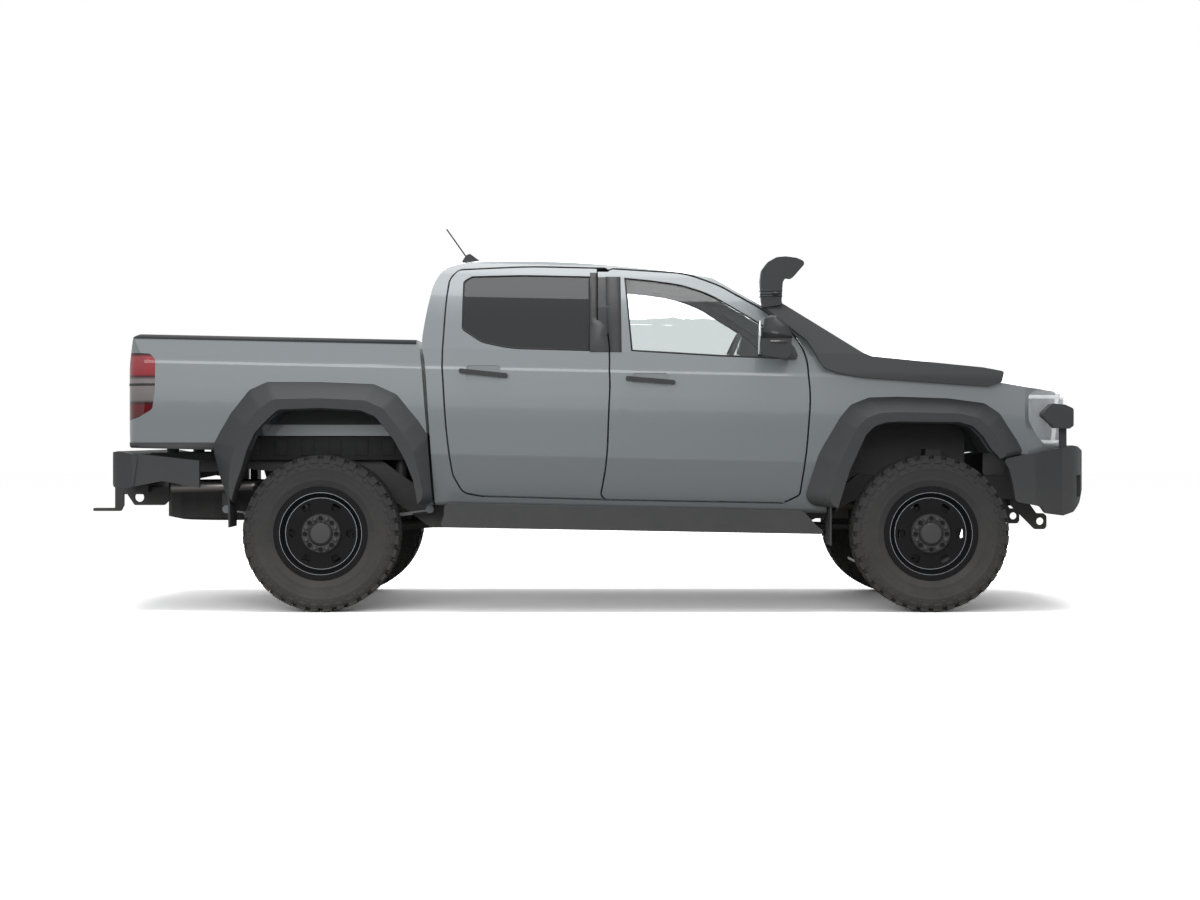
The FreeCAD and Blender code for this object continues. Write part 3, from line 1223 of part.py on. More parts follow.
hook = recovery_eye(HOOK_SHARES, HOOK_HOLE_SHARES, d.rail_offset, d.hook_hole_radius)
rail_room = frame_shape.copy()
rail_room.translate(Vector(0, 0, -d.seat_gap))
hook = largest(hook.cut(rail_room))
eye_plate = recovery_eye(EYE_PLATE_SHARES, PLATE_HOLE_SHARES, eye_plate_y, d.recovery_hole_radius)
beam_room = block(rear_beam_x - d.seat_gap, along(REAR_BEAM_SHARES["end"]) + d.seat_gap, 0, rear_beam_y,
                  rear_beam_z[0] - d.seat_gap, rear_beam_z[1])
eye_plate = largest(eye_plate.cut(beam_room))
eyes = [hook, mirrored(hook), eye_plate, mirrored(eye_plate)]
keep("recovery_eyes", Part.makeCompound(eyes))

# Front arms: a lower and an upper wishbone on each side.
EYE_SHARE = 1.15
TIP_SHARE = 0.7
LEG_SHARE = 0.8


def wishbone(pivot_side_y, height, pin_radius, waist):
    """Left wishbone from two bushes on the frame to the eye, as far out at mid length as its waist."""
    half = d.arm_thickness / 2
    eye_radius = d.ball_radius * EYE_SHARE
    centre = Vector(front_axle_x, kingpin_y, height - half)
    eye = Part.makeCylinder(eye_radius, d.arm_thickness, centre)
    bore = Part.makeCylinder(pin_radius + d.seat_gap, d.arm_thickness, centre)
    pieces = [eye]
    waist_y = (pivot_side_y + kingpin_y) / 2
    tip_half = eye_radius * TIP_SHARE
    for sign in (LEFT, RIGHT):
        bush_x = front_axle_x + sign * d.arm_spread
        bush = bar(Vector(bush_x - d.arm_pivot_radius, pivot_side_y, height),
                   Vector(bush_x + d.arm_pivot_radius, pivot_side_y, height), d.arm_pivot_radius)
        leg_plan = [
            Vector(bush_x - sign * d.arm_pivot_radius, pivot_side_y, 0),
            Vector(bush_x + sign * d.arm_pivot_radius, pivot_side_y, 0),
            Vector(front_axle_x + sign * waist, waist_y, 0),
            Vector(front_axle_x + sign * tip_half, kingpin_y, 0),
            Vector(front_axle_x - sign * tip_half, kingpin_y, 0),
            Vector(front_axle_x + sign * (waist - d.arm_leg_width), waist_y, 0),
        ]
        leg = upright(leg_plan, height - half * LEG_SHARE, height + half * LEG_SHARE)
        pieces += [bush, leg]
    return joined(pieces).cut(bore)


lower_pivot_y = rail_inner + d.arm_pivot_radius / 2 + d.arm_pivot_radius + d.seat_gap
upper_pivot_y = rail_outer + d.arm_pivot_radius + d.seat_gap
ball_pin = d.ball_radius / 2
lower_arm = wishbone(lower_pivot_y, lower_z, ball_pin, d.lower_arm_waist)
upper_arm = wishbone(upper_pivot_y, upper_z, ball_pin, d.upper_arm_waist)
keep("front_arms", Part.makeCompound([lower_arm, upper_arm, mirrored(lower_arm), mirrored(upper_arm)]))


# Steering knuckles on their kingpins.
def make_knuckle():
    """Left knuckle: plate, two lugs with ball pins, spindle and steering arm."""
    half_plate = d.knuckle_thickness / 2
    plate_y = wheel_y - half_plate
    half_width = d.knuckle_width / 2
    ball = d.ball_radius
    plate = block(front_axle_x - half_width, front_axle_x + half_width, plate_y, plate_y + 2 * half_plate,
                  d.kingpin_low - ball, d.kingpin_high + ball)
    spindle = bar(Vector(front_axle_x, wheel_y, d.tyre_radius),
                  Vector(front_axle_x, wheel_y + half_plate + d.spindle_length, d.tyre_radius),
                  d.spindle_radius)
    pieces = [plate, spindle]
    for height in (d.kingpin_low, d.kingpin_high):
        lug = block(front_axle_x - ball, front_axle_x + ball, kingpin_y, plate_y + half_plate,
                    height - ball, height + ball)
        boss = Part.makeCylinder(ball, 2 * ball, Vector(front_axle_x, kingpin_y, height - ball))
        pieces += [lug, boss]
    reach = d.ball_radius + d.arm_thickness + d.seat_gap
    low_pin = bar(Vector(front_axle_x, kingpin_y, d.kingpin_low), Vector(
        front_axle_x, kingpin_y, d.kingpin_low - reach), ball_pin)
    high_pin = bar(Vector(front_axle_x, kingpin_y, d.kingpin_high), Vector(
        front_axle_x, kingpin_y, d.kingpin_high + reach), ball_pin)
    pieces += [low_pin, high_pin]
    arm_x = front_axle_x + d.steering_arm_length
    arm = block(front_axle_x + half_width - ball, arm_x + d.rod_radius, eye_y - d.rod_radius,
                eye_y + d.rod_radius, d.steering_arm_height + d.rod_radius + d.joint_clearance,
                d.steering_arm_height + 2 * d.rod_radius + d.joint_clearance)
    root = block(front_axle_x + half_width - ball, front_axle_x + half_width, eye_y - d.rod_radius,
                 plate_y + half_plate, d.steering_arm_height + d.rod_radius + d.joint_clearance,
                 d.steering_arm_height + 2 * d.rod_radius + d.joint_clearance)
    pin = bar(Vector(arm_x, eye_y, d.steering_arm_height - d.rod_radius),
              Vector(arm_x, eye_y, d.steering_arm_height + 2 * d.rod_radius), d.rod_pin_radius)
    pieces += [arm, root, pin]
    shape = joined(pieces)
    joint_room = Part.makeSphere(d.boot_radius + d.joint_clearance,
                                 Vector(front_axle_x, kingpin_y, d.tyre_radius))
    return shape.cut(joint_room)


eye_y = kingpin_y - d.rod_inset
knuckle = make_knuckle()
for side_name, side in SIDES.items():
    keep("knuckle_" + side_name, on_side(knuckle, side))

# Steering rack and the rods that slide through it, with open eyes round the arms' pins.
slide_x = front_axle_x + d.steering_arm_length - d.rod_radius
EYE_HALF_LENGTH_SHARE = 2.35
EYE_HALF_WIDTH_SHARE = 1.35
eye_half_x = EYE_HALF_LENGTH_SHARE * d.rod_radius
eye_half_y = EYE_HALF_WIDTH_SHARE * d.rod_radius
eye_rim = d.rod_pin_radius
low_z = d.steering_arm_height - d.rod_radius
high_z = d.steering_arm_height + d.rod_radius
eye_outer = block(slide_x - eye_half_x - eye_rim, slide_x + eye_half_x + eye_rim,
                  eye_y - eye_half_y - eye_rim, eye_y + eye_half_y + eye_rim, low_z, high_z)
eye_room = block(slide_x - eye_half_x, slide_x + eye_half_x, eye_y - eye_half_y, eye_y + eye_half_y,
                 low_z - d.overrun, high_z + d.overrun)
rod_end = eye_y - eye_half_y - eye_rim / 2
rod = bar(Vector(slide_x, -rod_end, d.steering_arm_height), Vector(slide_x, rod_end, d.steering_arm_height),
          d.rod_radius)
tie_rods = joined([rod, eye_outer, mirrored(eye_outer)]).cut([eye_room, mirrored(eye_room)])
keep("tie_rods", tie_rods)
housing_half = d.rack_half_length
housing = bar(Vector(slide_x, -housing_half, d.steering_arm_height),
              Vector(slide_x, housing_half, d.steering_arm_height), d.rack_radius)
housing_bore = bar(Vector(slide_x, -housing_half, d.steering_arm_height),
                   Vector(slide_x, housing_half, d.steering_arm_height), d.rod_radius + d.seat_gap)
housing_feet = [
    block(slide_x - d.rack_radius, slide_x + d.rack_radius, side * d.rack_foot_offset - d.rack_radius,
          side * d.rack_foot_offset + d.rack_radius, lower_z, d.steering_arm_height)
    for side in (LEFT, RIGHT)
]
rack_base = [
    block(front_axle_x + d.arm_spread - d.arm_pivot_radius - d.seat_gap, slide_x - d.rack_radius,
          side * d.rack_foot_offset - d.rack_radius, side * d.rack_foot_offset + d.rack_radius,
          lower_z - d.arm_pivot_radius, lower_z + d.arm_pivot_radius)
    for side in (LEFT, RIGHT)
]
rack_shape = joined([housing] + housing_feet + rack_base).cut(housing_bore)
front_beam_room = block(front_axle_x + d.arm_spread - d.arm_pivot_radius - d.seat_gap,
                        front_axle_x + d.arm_spread + d.arm_pivot_radius + d.seat_gap,
                        -rail_inner, rail_inner, lower_z - 2 * d.arm_pivot_radius,
                        lower_z + d.arm_pivot_radius + d.seat_gap)
keep("steering_rack", largest(rack_shape.cut(front_beam_room)))

# Front differential and half shafts up to the joints inside the knuckles.
axle_centre = Vector(front_axle_x, 0, d.tyre_radius)
diff_half = d.diff_half_width
front_drive = [
    Part.makeSphere(d.diff_radius, axle_centre),
    bar(axle_centre - Vector(0, diff_half, 0), axle_centre + Vector(0, diff_half, 0), d.boot_radius),
    bar(axle_centre, axle_centre - Vector(d.diff_nose_length, 0, 0), d.boot_radius),
]
for side in (LEFT, RIGHT):
    end = Vector(front_axle_x, side * kingpin_y, d.tyre_radius)
    front_drive.append(bar(axle_centre, end, d.shaft_radius))
    front_drive.append(Part.makeSphere(d.boot_radius, end))
    mount = block(front_axle_x - d.arm_spread - d.shaft_radius, front_axle_x,
                  side * d.diff_foot_offset - d.rod_radius, side * d.diff_foot_offset + d.rod_radius,
                  d.tyre_radius - d.shaft_radius, d.tyre_radius + d.shaft_radius)
    foot = block(front_axle_x - d.arm_spread - d.shaft_radius, front_axle_x - d.arm_spread + d.shaft_radius,
                 side * d.diff_foot_offset - d.rod_radius, side * d.diff_foot_offset + d.rod_radius,
                 lower_z + d.arm_pivot_radius + d.seat_gap, d.tyre_radius + d.shaft_radius)
    front_drive.append(foot)
    front_drive.append(mount)
keep("front_drive", joined(front_drive))

# Rear axle with its differential and hub flanges.
rear_centre = Vector(rear_axle_x, 0, d.tyre_radius)
flange_y = wheel_y + d.knuckle_thickness / 2
axle_pieces = [
    bar(rear_centre - Vector(0, flange_y, 0), rear_centre + Vector(0, flange_y, 0), d.axle_radius),
    bar(rear_centre - Vector(0, flange_y + d.spindle_length, 0),
        rear_centre + Vector(0, flange_y + d.spindle_length, 0), d.spindle_radius),
    Part.makeSphere(d.axle_diff_radius, rear_centre),
    bar(rear_centre, rear_centre + Vector(d.axle_nose_length, 0, 0), d.axle_radius),
]
for side in (LEFT, RIGHT):
    axle_pieces.append(bar(Vector(rear_axle_x, side * (flange_y - d.knuckle_thickness), d.tyre_radius),
                           Vector(rear_axle_x, side * flange_y, d.tyre_radius), d.hub_radius))
    axle_pieces.append(block(rear_axle_x - d.hub_radius, rear_axle_x + d.hub_radius,
                             side * (d.spring_offset - d.spring_width / 2),
                             side * (d.spring_offset + d.spring_width / 2),
                             d.tyre_radius, d.tyre_radius + d.axle_radius))
    axle_pieces.append(block(rear_axle_x - 2 * d.damper_radius, rear_axle_x,
                             side * (rail_inner - d.damper_radius), side * (rail_inner + d.damper_radius),
                             d.tyre_radius - d.damper_radius, d.tyre_radius + d.damper_radius))
keep("rear_axle", joined(axle_pieces))

# Leaf springs: bent packs on the axle, hung from the frame at both ends.
LEAF_STEP_SHARE = 0.17


def leaf_pack():
    """Left spring: leaves that shorten downwards, each an arc, and an eye at each end."""
    leaves = []
    lift = Vector(0, 0, d.spring_leaf)
    count = int(d.spring_leaves)
    near_y = d.spring_offset - d.spring_width / 2
    for index in range(count):
        length_share = 1 - LEAF_STEP_SHARE * (count - 1 - index)
        length = d.spring_half_length * length_share
        low = spring_low + index * d.spring_leaf
        rise = d.spring_rise * length_share ** 2
        ends = [Vector(rear_axle_x - length, near_y, low + rise), Vector(rear_axle_x, near_y, low),
                Vector(rear_axle_x + length, near_y, low + rise)]
        edges = [
            Part.Arc(*ends).toShape(),
            Part.LineSegment(ends[2], ends[2] + lift).toShape(),
            Part.Arc(*[point + lift for point in reversed(ends)]).toShape(),
            Part.LineSegment(ends[0] + lift, ends[0]).toShape(),
        ]
        leaves.append(Part.Face(Part.Wire(edges)).extrude(Vector(0, d.spring_width, 0)))
    for sign in (LEFT, RIGHT):
        start = Vector(rear_axle_x + sign * d.spring_half_length, near_y, spring_eye_z)
        leaves.append(bar(start, start + Vector(0, d.spring_width, 0), d.spring_eye_radius))
    return joined(leaves)


spring = leaf_pack()


def rear_damper(side):
    """Telescopic damper with an eye across each end; the upper one reaches the rail."""
    centre_y = rail_inner - d.damper_radius - d.seat_gap
    foot = Vector(rear_axle_x - 2 * d.damper_radius - d.damper_eye_radius - d.seat_gap,
                  side * centre_y, d.tyre_radius)
    head = Vector(rear_axle_x - REAR_DAMPER_SHARES[0] * d.tyre_radius, side * centre_y,
                  REAR_DAMPER_SHARES[1] * d.tyre_radius)
    start = foot + (head - foot) * REAR_DAMPER_SHARES[2]
    split = foot + (head - foot) * REAR_DAMPER_SHARES[3]
    pieces = [bar(start, split, d.damper_radius), bar(foot, head, d.damper_rod_radius)]
    for eye in (foot, head):
        pieces.append(bar(Vector(eye.x, side * (centre_y - d.damper_eye_radius), eye.z),
                          Vector(eye.x, side * (rail_inner - d.seat_gap), eye.z), d.damper_eye_radius))
    return largest(joined(pieces))


REAR_DAMPER_SHARES = (0.530, 1.975, 0.160, 0.550)
FRONT_DAMPER_SHARES = (0.350, 0.330, 0.960)
front_foot = Vector(tower_x, (kingpin_y + rail_outer) / 2 - d.coil_radius, lower_z + d.arm_thickness / 2)
front_head = Vector(tower_x, tower_y, up(TOWER_LOW_SHARE) - d.seat_gap)
tilt_share = (front_foot.y - front_head.y) / (front_head.z - front_foot.z)
front_head.z -= d.damper_rod_radius * tilt_share
tube_end, coil_start, coil_end = [front_foot + (front_head - front_foot) * share
                                  for share in FRONT_DAMPER_SHARES]
front_damper = joined([
    bar(front_foot, tube_end, d.damper_radius),
    bar(coil_start, coil_end, d.coil_radius),
    bar(front_foot, front_head, d.damper_rod_radius),
])
arm_room = lower_arm.fuse(upper_arm)
front_damper = largest(front_damper.cut(arm_room))
dampers = [both(front_damper), rear_damper(LEFT), rear_damper(RIGHT)]
keep("springs_and_dampers", Part.makeCompound([both(largest(spring))] + dampers))



# Front bumper: side and plan outlines, a wall round a hollow, fog pockets and an air intake.
BUMPER_PLAN_SHARES = [
    (1.100, 1.075, 0.0), (1.170, 1.075), (1.215, 1.020), (1.250, 0.860, 20.0), (1.272, 0.600, 20.0),
    (1.284, 0.300, 20.0),
]
FOG_POCKET_SHARES = {"x": (1.180, 1.300), "y": (0.690, 0.850), "z": (0.316, 0.378)}
INTAKE_SHARES = {"y": (0.000, 0.520), "z": (0.345, 0.398)}
BUMPER_MOUNT_SHARES = {"y": (0.320, 0.420), "z": (0.320, 0.360)}


def bumper_plan(inset):
    """Upright prism of the bumper's plan outline, with its back open where it is inset."""
    start = (1.100 if inset == 0 else 0.900, 1.075, 0.0)
    return plan_prism([start] + BUMPER_PLAN_SHARES[1:], inset)


bumper_full = bumper_side.common(bumper_plan(0))
bumper_hollow = bumper_plan(d.bumper_wall)
lip_drop = Vector(0, 0, -d.bumper_lip)
lowered = bumper_side.copy()
lowered.translate(lip_drop)
bumper_lip = bumper_full.cut(lowered).cut(plan_prism(NOSE_PLAN_SHARES, -d.panel_gap))
bumper = bumper_full.cut(bumper_hollow).fuse(bumper_lip)
pocket_depth = bumper_full.cut(bumper_plan(d.pocket_depth))
pocket_x = [along(share) for share in FOG_POCKET_SHARES["x"]]
pocket_z = [up(share) for share in FOG_POCKET_SHARES["z"]]
for side in (LEFT, RIGHT):
    fog_y = [side * out(share) for share in FOG_POCKET_SHARES["y"]]
    fog = block(pocket_x[0], pocket_x[1], fog_y[0], fog_y[1], pocket_z[0], pocket_z[1])
    bumper = bumper.cut(fog.common(pocket_depth))
intake_half = out(INTAKE_SHARES["y"][1])
intake = block(pocket_x[0], pocket_x[1], -intake_half, intake_half, up(INTAKE_SHARES["z"][0]),
               up(INTAKE_SHARES["z"][1]))
bumper = bumper.cut(intake.common(pocket_depth))
bumper_mounts = []
for side in (LEFT, RIGHT):
    mount = block(front_beam_x + d.seat_gap, along(1.2862) - d.bumper_wall / 2,
                  side * out(BUMPER_MOUNT_SHARES["y"][0]), side * out(BUMPER_MOUNT_SHARES["y"][1]),
                  up(BUMPER_MOUNT_SHARES["z"][0]), up(BUMPER_MOUNT_SHARES["z"][1]))
    bumper_mounts.append(mount)
bumper = joined([largest(bumper)] + bumper_mounts)
keep("front_bumper", largest(bumper))

# Driving lamps on brackets that stand on the bumper.
POD_SHARES = [
    (1.179, 0.547), (1.197, 0.578), (1.218, 0.575), (1.232, 0.564), (1.232, 0.516), (1.225, 0.508),
    (1.202, 0.510), (1.194, 0.524),
]
BRACKET_SHARES = [(1.2130, 0.430), (1.2130, 0.540), (1.2257, 0.540), (1.2257, 0.430)]
pod_y = out(1.0) + d.pod_offset
pod = across(side_points(POD_SHARES), pod_y - d.pod_half_width, pod_y + d.pod_half_width,
             corner_radii(POD_SHARES, d.soft_corner / 2))
bracket_y = pod_y - d.pod_half_width
bracket = across(side_points(BRACKET_SHARES), bracket_y, bracket_y + d.hinge_plate / 2)
bracket = largest(bracket.cut(bumper_full))
bracket.translate(Vector(0, 0, d.seat_gap))
keep("driving_lamps", both(joined([pod, bracket])))

# Snorkel along the right wing and up beside the windscreen pillar.
SNORKEL_ARM_SHARES = [
    (0.759, 0.860, 0.1), (0.727, 0.852, 0.1), (0.747, 0.824), (0.772, 0.790), (0.797, 0.756),
    (0.808, 0.728), (0.818, 0.695), (0.825, 0.678), (0.846, 0.664), (0.888, 0.650),
    (1.095, 0.625), (1.115, 0.636), (1.120, 0.667), (1.086, 0.678), (0.904, 0.709), (0.888, 0.720),
]
SNORKEL_HEAD_SHARES = [
    (0.759, 0.855, 0.1), (0.726, 0.847, 0.1), (0.725, 0.867, 0.1), (0.723, 0.923), (0.725, 0.951),
    (0.735, 0.974), (0.750, 0.988), (0.765, 0.990), (0.783, 0.986), (0.799, 0.974), (0.775, 0.928),
    (0.765, 0.932), (0.760, 0.918), (0.758, 0.867, 0.1),
]
SNORKEL_HEAD_SIDE_SHARES = (0.795, 0.905)
snorkel_layer = section_prism(SECTION_SHARES, OPEN_TOP_SHARE, 0.60, 1.20, -d.snorkel_depth)
snorkel_arm = flat_prism(SNORKEL_ARM_SHARES, out(0.600), out(1.200), d.soft_corner / 2)
snorkel_arm = snorkel_arm.common(snorkel_layer)
snorkel_head_y = [out(share) for share in SNORKEL_HEAD_SIDE_SHARES]
snorkel_head = flat_prism(SNORKEL_HEAD_SHARES, snorkel_head_y[0], snorkel_head_y[1], d.soft_corner)
snorkel = snorkel_arm.fuse(snorkel_head).cut([cab_outer, nose_outer, body_section])
snorkel = largest(snorkel)
snorkel.translate(Vector(0, d.seat_gap, d.seat_gap))
keep("snorkel", mirrored(snorkel))

# Door fittings: mirrors with their sails, and handles with finger room behind them.
MIRROR_SHARES = [
    (0.727, 0.817), (0.742, 0.817), (0.761, 0.790), (0.768, 0.765), (0.766, 0.710), (0.760, 0.699),
    (0.717, 0.710), (0.717, 0.738), (0.722, 0.779),
]
MIRROR_SIDE_SHARES = (1.080, 1.240)
MIRROR_ARM_SHARES = {"x": (0.7605, 0.7690), "z": (0.716, 0.738)}
SAIL_SHARES = [(0.7600, 0.704, 0.1), (0.7860, 0.702), (0.7780, 0.735), (0.7600, 0.770, 0.1)]
FRONT_HANDLE_SHARES = [(0.500, 0.655), (0.581, 0.643), (0.581, 0.631), (0.500, 0.642)]
REAR_HANDLE_SHARES = [(0.226, 0.676), (0.306, 0.662), (0.306, 0.649), (0.226, 0.663)]


def handle(rows):
    """Left door handle: a bar on two feet that follows the door's skin."""
    grip = flat_prism(rows, out(0.940), out(1.0) + d.handle_reach, d.soft_corner / 3)
    feet = d.handle_reach
    room = block(along(rows[0][0]) + feet, along(rows[1][0]) - feet, out(0.9), out(1.0) + d.handle_reach / 2,
                 0, tall)
    shape = largest(grip.cut([cab_outer, room]))
    shape.translate(Vector(0, d.seat_gap, 0))
    return shape


CUP_MARGIN_SHARES = (0.012, 0.008)


def handle_cup(rows):
    """Rounded recess in the door's skin behind a handle."""
    start, end = rows[0][0] + CUP_MARGIN_SHARES[0], rows[1][0] - CUP_MARGIN_SHARES[0]
    low, high = rows[2][1] - CUP_MARGIN_SHARES[1], rows[0][1] + CUP_MARGIN_SHARES[1]
    outline = [(start, high), (end, high), (end, low), (start, low)]
    return flat_prism(outline, out(1.0) - d.cup_depth, out(1.1), d.soft_corner / 2)


for door_name, rows in (("front_door_", FRONT_HANDLE_SHARES), ("rear_door_", REAR_HANDLE_SHARES)):
    for side_name, side in SIDES.items():
        door = nodes[door_name + side_name]
        door.Shape = door.Shape.cut(on_side(handle_cup(rows), side))
mirror_head = flat_prism(MIRROR_SHARES, out(MIRROR_SIDE_SHARES[0]), out(MIRROR_SIDE_SHARES[1]), d.soft_corner)
arm_x = [along(share) for share in MIRROR_ARM_SHARES["x"]]
arm_z = [up(share) for share in MIRROR_ARM_SHARES["z"]]
mirror_arm = block(arm_x[0], arm_x[1], out(0.900), out(MIRROR_SIDE_SHARES[0]) + d.soft_corner,
                   arm_z[0], arm_z[1])
sail = flat_prism(SAIL_SHARES, out(0.880), out(1.200), d.soft_corner).common(
    section_prism(SECTION_SHARES, OPEN_TOP_SHARE, 0.60, 1.20, -d.hinge_plate))
mirror = joined([mirror_head, mirror_arm, sail]).cut(cab_outer)
mirror = largest(mirror)
mirror.translate(Vector(0, d.seat_gap, 0))
front_fittings = Part.makeCompound([mirror, handle(FRONT_HANDLE_SHARES)])
rear_handle = handle(REAR_HANDLE_SHARES)
for side_name, side in SIDES.items():
    keep("front_fittings_" + side_name, on_side(front_fittings, side))
    keep("rear_handle_" + side_name, on_side(rear_handle, side))

# Side steps on arms from the frame.
STEP_SHARES = [
    (0.203, 0.302), (0.203, 0.269), (0.195, 0.236), (0.828, 0.217), (0.810, 0.243), (0.790, 0.280),
]
STEP_ARM_SHARES = [0.270, 0.480, 0.740]
step = flat_prism(STEP_SHARES, out(0.945), out(1.0) + d.step_reach, d.soft_corner)
step_under = block(along(0.100), along(0.900), 0, out(1.0) + d.step_reach - d.soft_corner, 0,
                   up(0.217) + d.step_height / 4)
step = largest(step.cut([cab_outer, step_under]))
step_pieces = [step]
for share in STEP_ARM_SHARES:
    step_pieces.append(block(along(share) - d.soft_corner, along(share) + d.soft_corner,
                             rail_outer + d.seat_gap, out(0.960), up(0.250), up(0.262)))
side_step = joined(step_pieces)
keep("side_steps", both(side_step))

# Front wheel arch liners.
LINER_INNER_SHARE = 0.560
LINER_OUTER_SHARE = 0.990
liner_points = axle_points(FRONT_ARCH_SHARES, front_axle_x)
liner_radii = corner_radii(FRONT_ARCH_SHARES, 2 * d.soft_corner)
liner_shell = across(moved_in(liner_points, d.seat_gap), out(LINER_INNER_SHARE), out(LINER_OUTER_SHARE),
                     liner_radii)
liner_room = across(moved_in(liner_points, d.liner_thickness), out(LINER_INNER_SHARE) - d.overrun,
                    out(LINER_OUTER_SHARE) + d.overrun, liner_radii)
liner_low = block(along(0.700), front_axle_x, 0, tall, 0, up(0.280))
liner_front_low = block(front_axle_x, along(1.400), 0, tall, 0, up(0.440))
liner = largest(liner_shell.cut([liner_room, liner_low, liner_front_low]))

# Rear liners: a shell under each wheel box, and a skirt between the bed's floor and the frame.
rear_points = axle_points(REAR_ARCH_SHARES, rear_axle_x)
rear_radii = corner_radii(REAR_ARCH_SHARES, 2 * d.soft_corner)
rear_inner = d.wheel_box_inner + d.wheel_box_wall + d.seat_gap
rear_shell = across(moved_in(rear_points, d.seat_gap), rear_inner, out(LINER_OUTER_SHARE), rear_radii)
rear_room = across(moved_in(rear_points, d.liner_thickness), rear_inner + d.liner_thickness, out(1.200),
                   rear_radii)
REAR_LINER_LOW_SHARES = (0.395, 0.520)
skirt = block(box_start, box_end, rear_inner, rear_inner + d.liner_thickness,
              up(REAR_LINER_LOW_SHARES[0]), d.bed_floor_top)
rear_low = block(box_start - tall, box_end + tall, 0, tall, 0, up(REAR_LINER_LOW_SHARES[1]))
rear_liner = rear_shell.cut([rear_room, rear_low])
rear_liner = largest(joined([rear_liner, skirt.common(across(rear_points, 0, out(1.200), rear_radii))]))
rear_liner = rear_liner.cut(flare_pieces[1])
keep("wheel_liners", Part.makeCompound([liner, mirrored(liner), rear_liner, mirrored(rear_liner)]))

# Rear bumper: a rounded bar with a step, and corner panels.
REAR_BAR_SHARES = [
    (-0.362, 0.426), (-0.360, 0.392), (-0.345, 0.344), (-0.308, 0.344), (-0.300, 0.434), (-0.335, 0.446),
    (-0.358, 0.440),
]
REAR_BAR_PLAN_SHARES = [
    (-0.200, 0.950, 0.0), (-0.200, 1.030, 0.0), (-0.310, 1.030), (-0.345, 0.960, 20.0), (-0.364, 0.600, 20.0),
]
CORNER_SHARES = [
    (-0.310, 0.440), (-0.182, 0.416), (-0.177, 0.394), (-0.177, 0.338), (-0.261, 0.363), (-0.320, 0.344),
]
rear_loop = REAR_BAR_PLAN_SHARES + [(row[0], -row[1]) + tuple(row[2:])
                                    for row in reversed(REAR_BAR_PLAN_SHARES)]
rear_plan_face = outline_face([Vector(along(row[0]), out(row[1]), 0) for row in rear_loop],
                              corner_radii(rear_loop, d.soft_corner))
rear_plan = rear_plan_face.extrude(Vector(0, 0, tall))
rear_bar = flat_prism(REAR_BAR_SHARES, -out(1.030), out(1.030), d.soft_corner).common(rear_plan)
corner_panel = flat_prism(CORNER_SHARES, out(0.970), out(1.020), d.soft_corner).common(rear_plan)
rear_mount = block(rear_beam_x - d.seat_gap, along(-0.3350), out(0.300), out(0.420), up(0.360), up(0.400))
rear_pieces = [rear_bar]
for piece in (corner_panel, rear_mount):
    rear_pieces += [piece, mirrored(piece)]
rear_bumper = joined(rear_pieces).cut([bed_full, frame_shape])
rear_bumper = largest(rear_bumper)
keep("rear_bumper", rear_bumper)

# Tow tongue in the receiver of the frame.
TONGUE_SHARES = [
    (-0.4324, 0.2740), (-0.4324, 0.2650), (-0.3850, 0.2650), (-0.3800, 0.2820), (-0.3800, 0.3440),
    (-0.3940, 0.3440), (-0.3940, 0.2740),
]
tongue = flat_prism(TONGUE_SHARES, -d.tongue_width / 2, d.tongue_width / 2, d.soft_corner / 5)
shank_half = d.hitch_bore / 2 - d.seat_gap
shank = block(along(-0.3900), receiver_start_x + d.hitch_width, -shank_half, shank_half,
              receiver_z - shank_half, receiver_z + shank_half)
ball_hole = Part.makeCylinder(d.ball_hole_radius, tall, Vector(along(-0.4324) + d.tongue_width / 2, 0, 0))
keep("tow_tongue", largest(joined([tongue, shank]).cut(ball_hole)))

# Aerial on the roof.
FIN_SHARES = [(0.216, 0.990, 0.1), (0.216, 1.008), (0.222, 1.024), (0.229, 1.029), (0.246, 1.008),
            (0.246, 0.990, 0.1)]
fin = flat_prism(FIN_SHARES, -d.fin_width / 2, d.fin_width / 2, d.soft_corner / 3).cut(cab_outer)
fin.translate(Vector(0, 0, d.seat_gap))
mast = bar(Vector(along(0.2240), 0, up(1.016)), Vector(along(0.1880), 0, up(1.102)), d.mast_radius)
keep("aerial", largest(joined([largest(fin), mast])))


# Engine, gearbox and transfer case as plain masses, with mounts on the frame.
engine = block(along(0.880), along(1.085), -out(0.320), out(0.320), up(0.300), up(0.600))
bell = block(along(0.540), along(0.890), -out(0.130), out(0.130), up(0.245), up(0.380))
transfer = block(along(0.520), along(0.600), -out(0.130), out(0.215), up(0.218), up(0.300))
engine_mounts = [
    block(along(0.905), along(0.940), side * out(0.300), side * (rail_inner - d.seat_gap), up(0.325),
          up(0.350))
    for side in (LEFT, RIGHT)
]
radiator = block(along(1.150), along(1.168), d.seat_gap - rail_inner, rail_inner - d.seat_gap,
                 up(0.330), up(0.590))
keep("powertrain", Part.makeCompound([joined([engine, bell, transfer] + engine_mounts), radiator]))

# Propeller shafts from the transfer case to the two differentials.
rear_flange = Vector(along(0.520) - d.seat_gap, 0, up(0.280))
rear_nose = rear_centre + Vector(d.axle_nose_length + d.seat_gap, 0, 0)
front_flange = Vector(along(0.600) + d.seat_gap, out(0.170), up(0.230))
front_nose = axle_centre - Vector(d.diff_nose_length + d.seat_gap, 0, 0)


FLANGE_SHARE = 1.5


def shaft(start, end, radius):
    """Shaft between two flanges that face along the truck."""
    direction = 1 if end.x > start.x else -1
    flange = Vector(direction * d.shaft_radius, 0, 0)
    return joined([
        bar(start, start + flange, radius * FLANGE_SHARE), bar(end, end - flange, radius * FLANGE_SHARE),
        bar(start + flange / 2, end - flange / 2, radius),
    ])


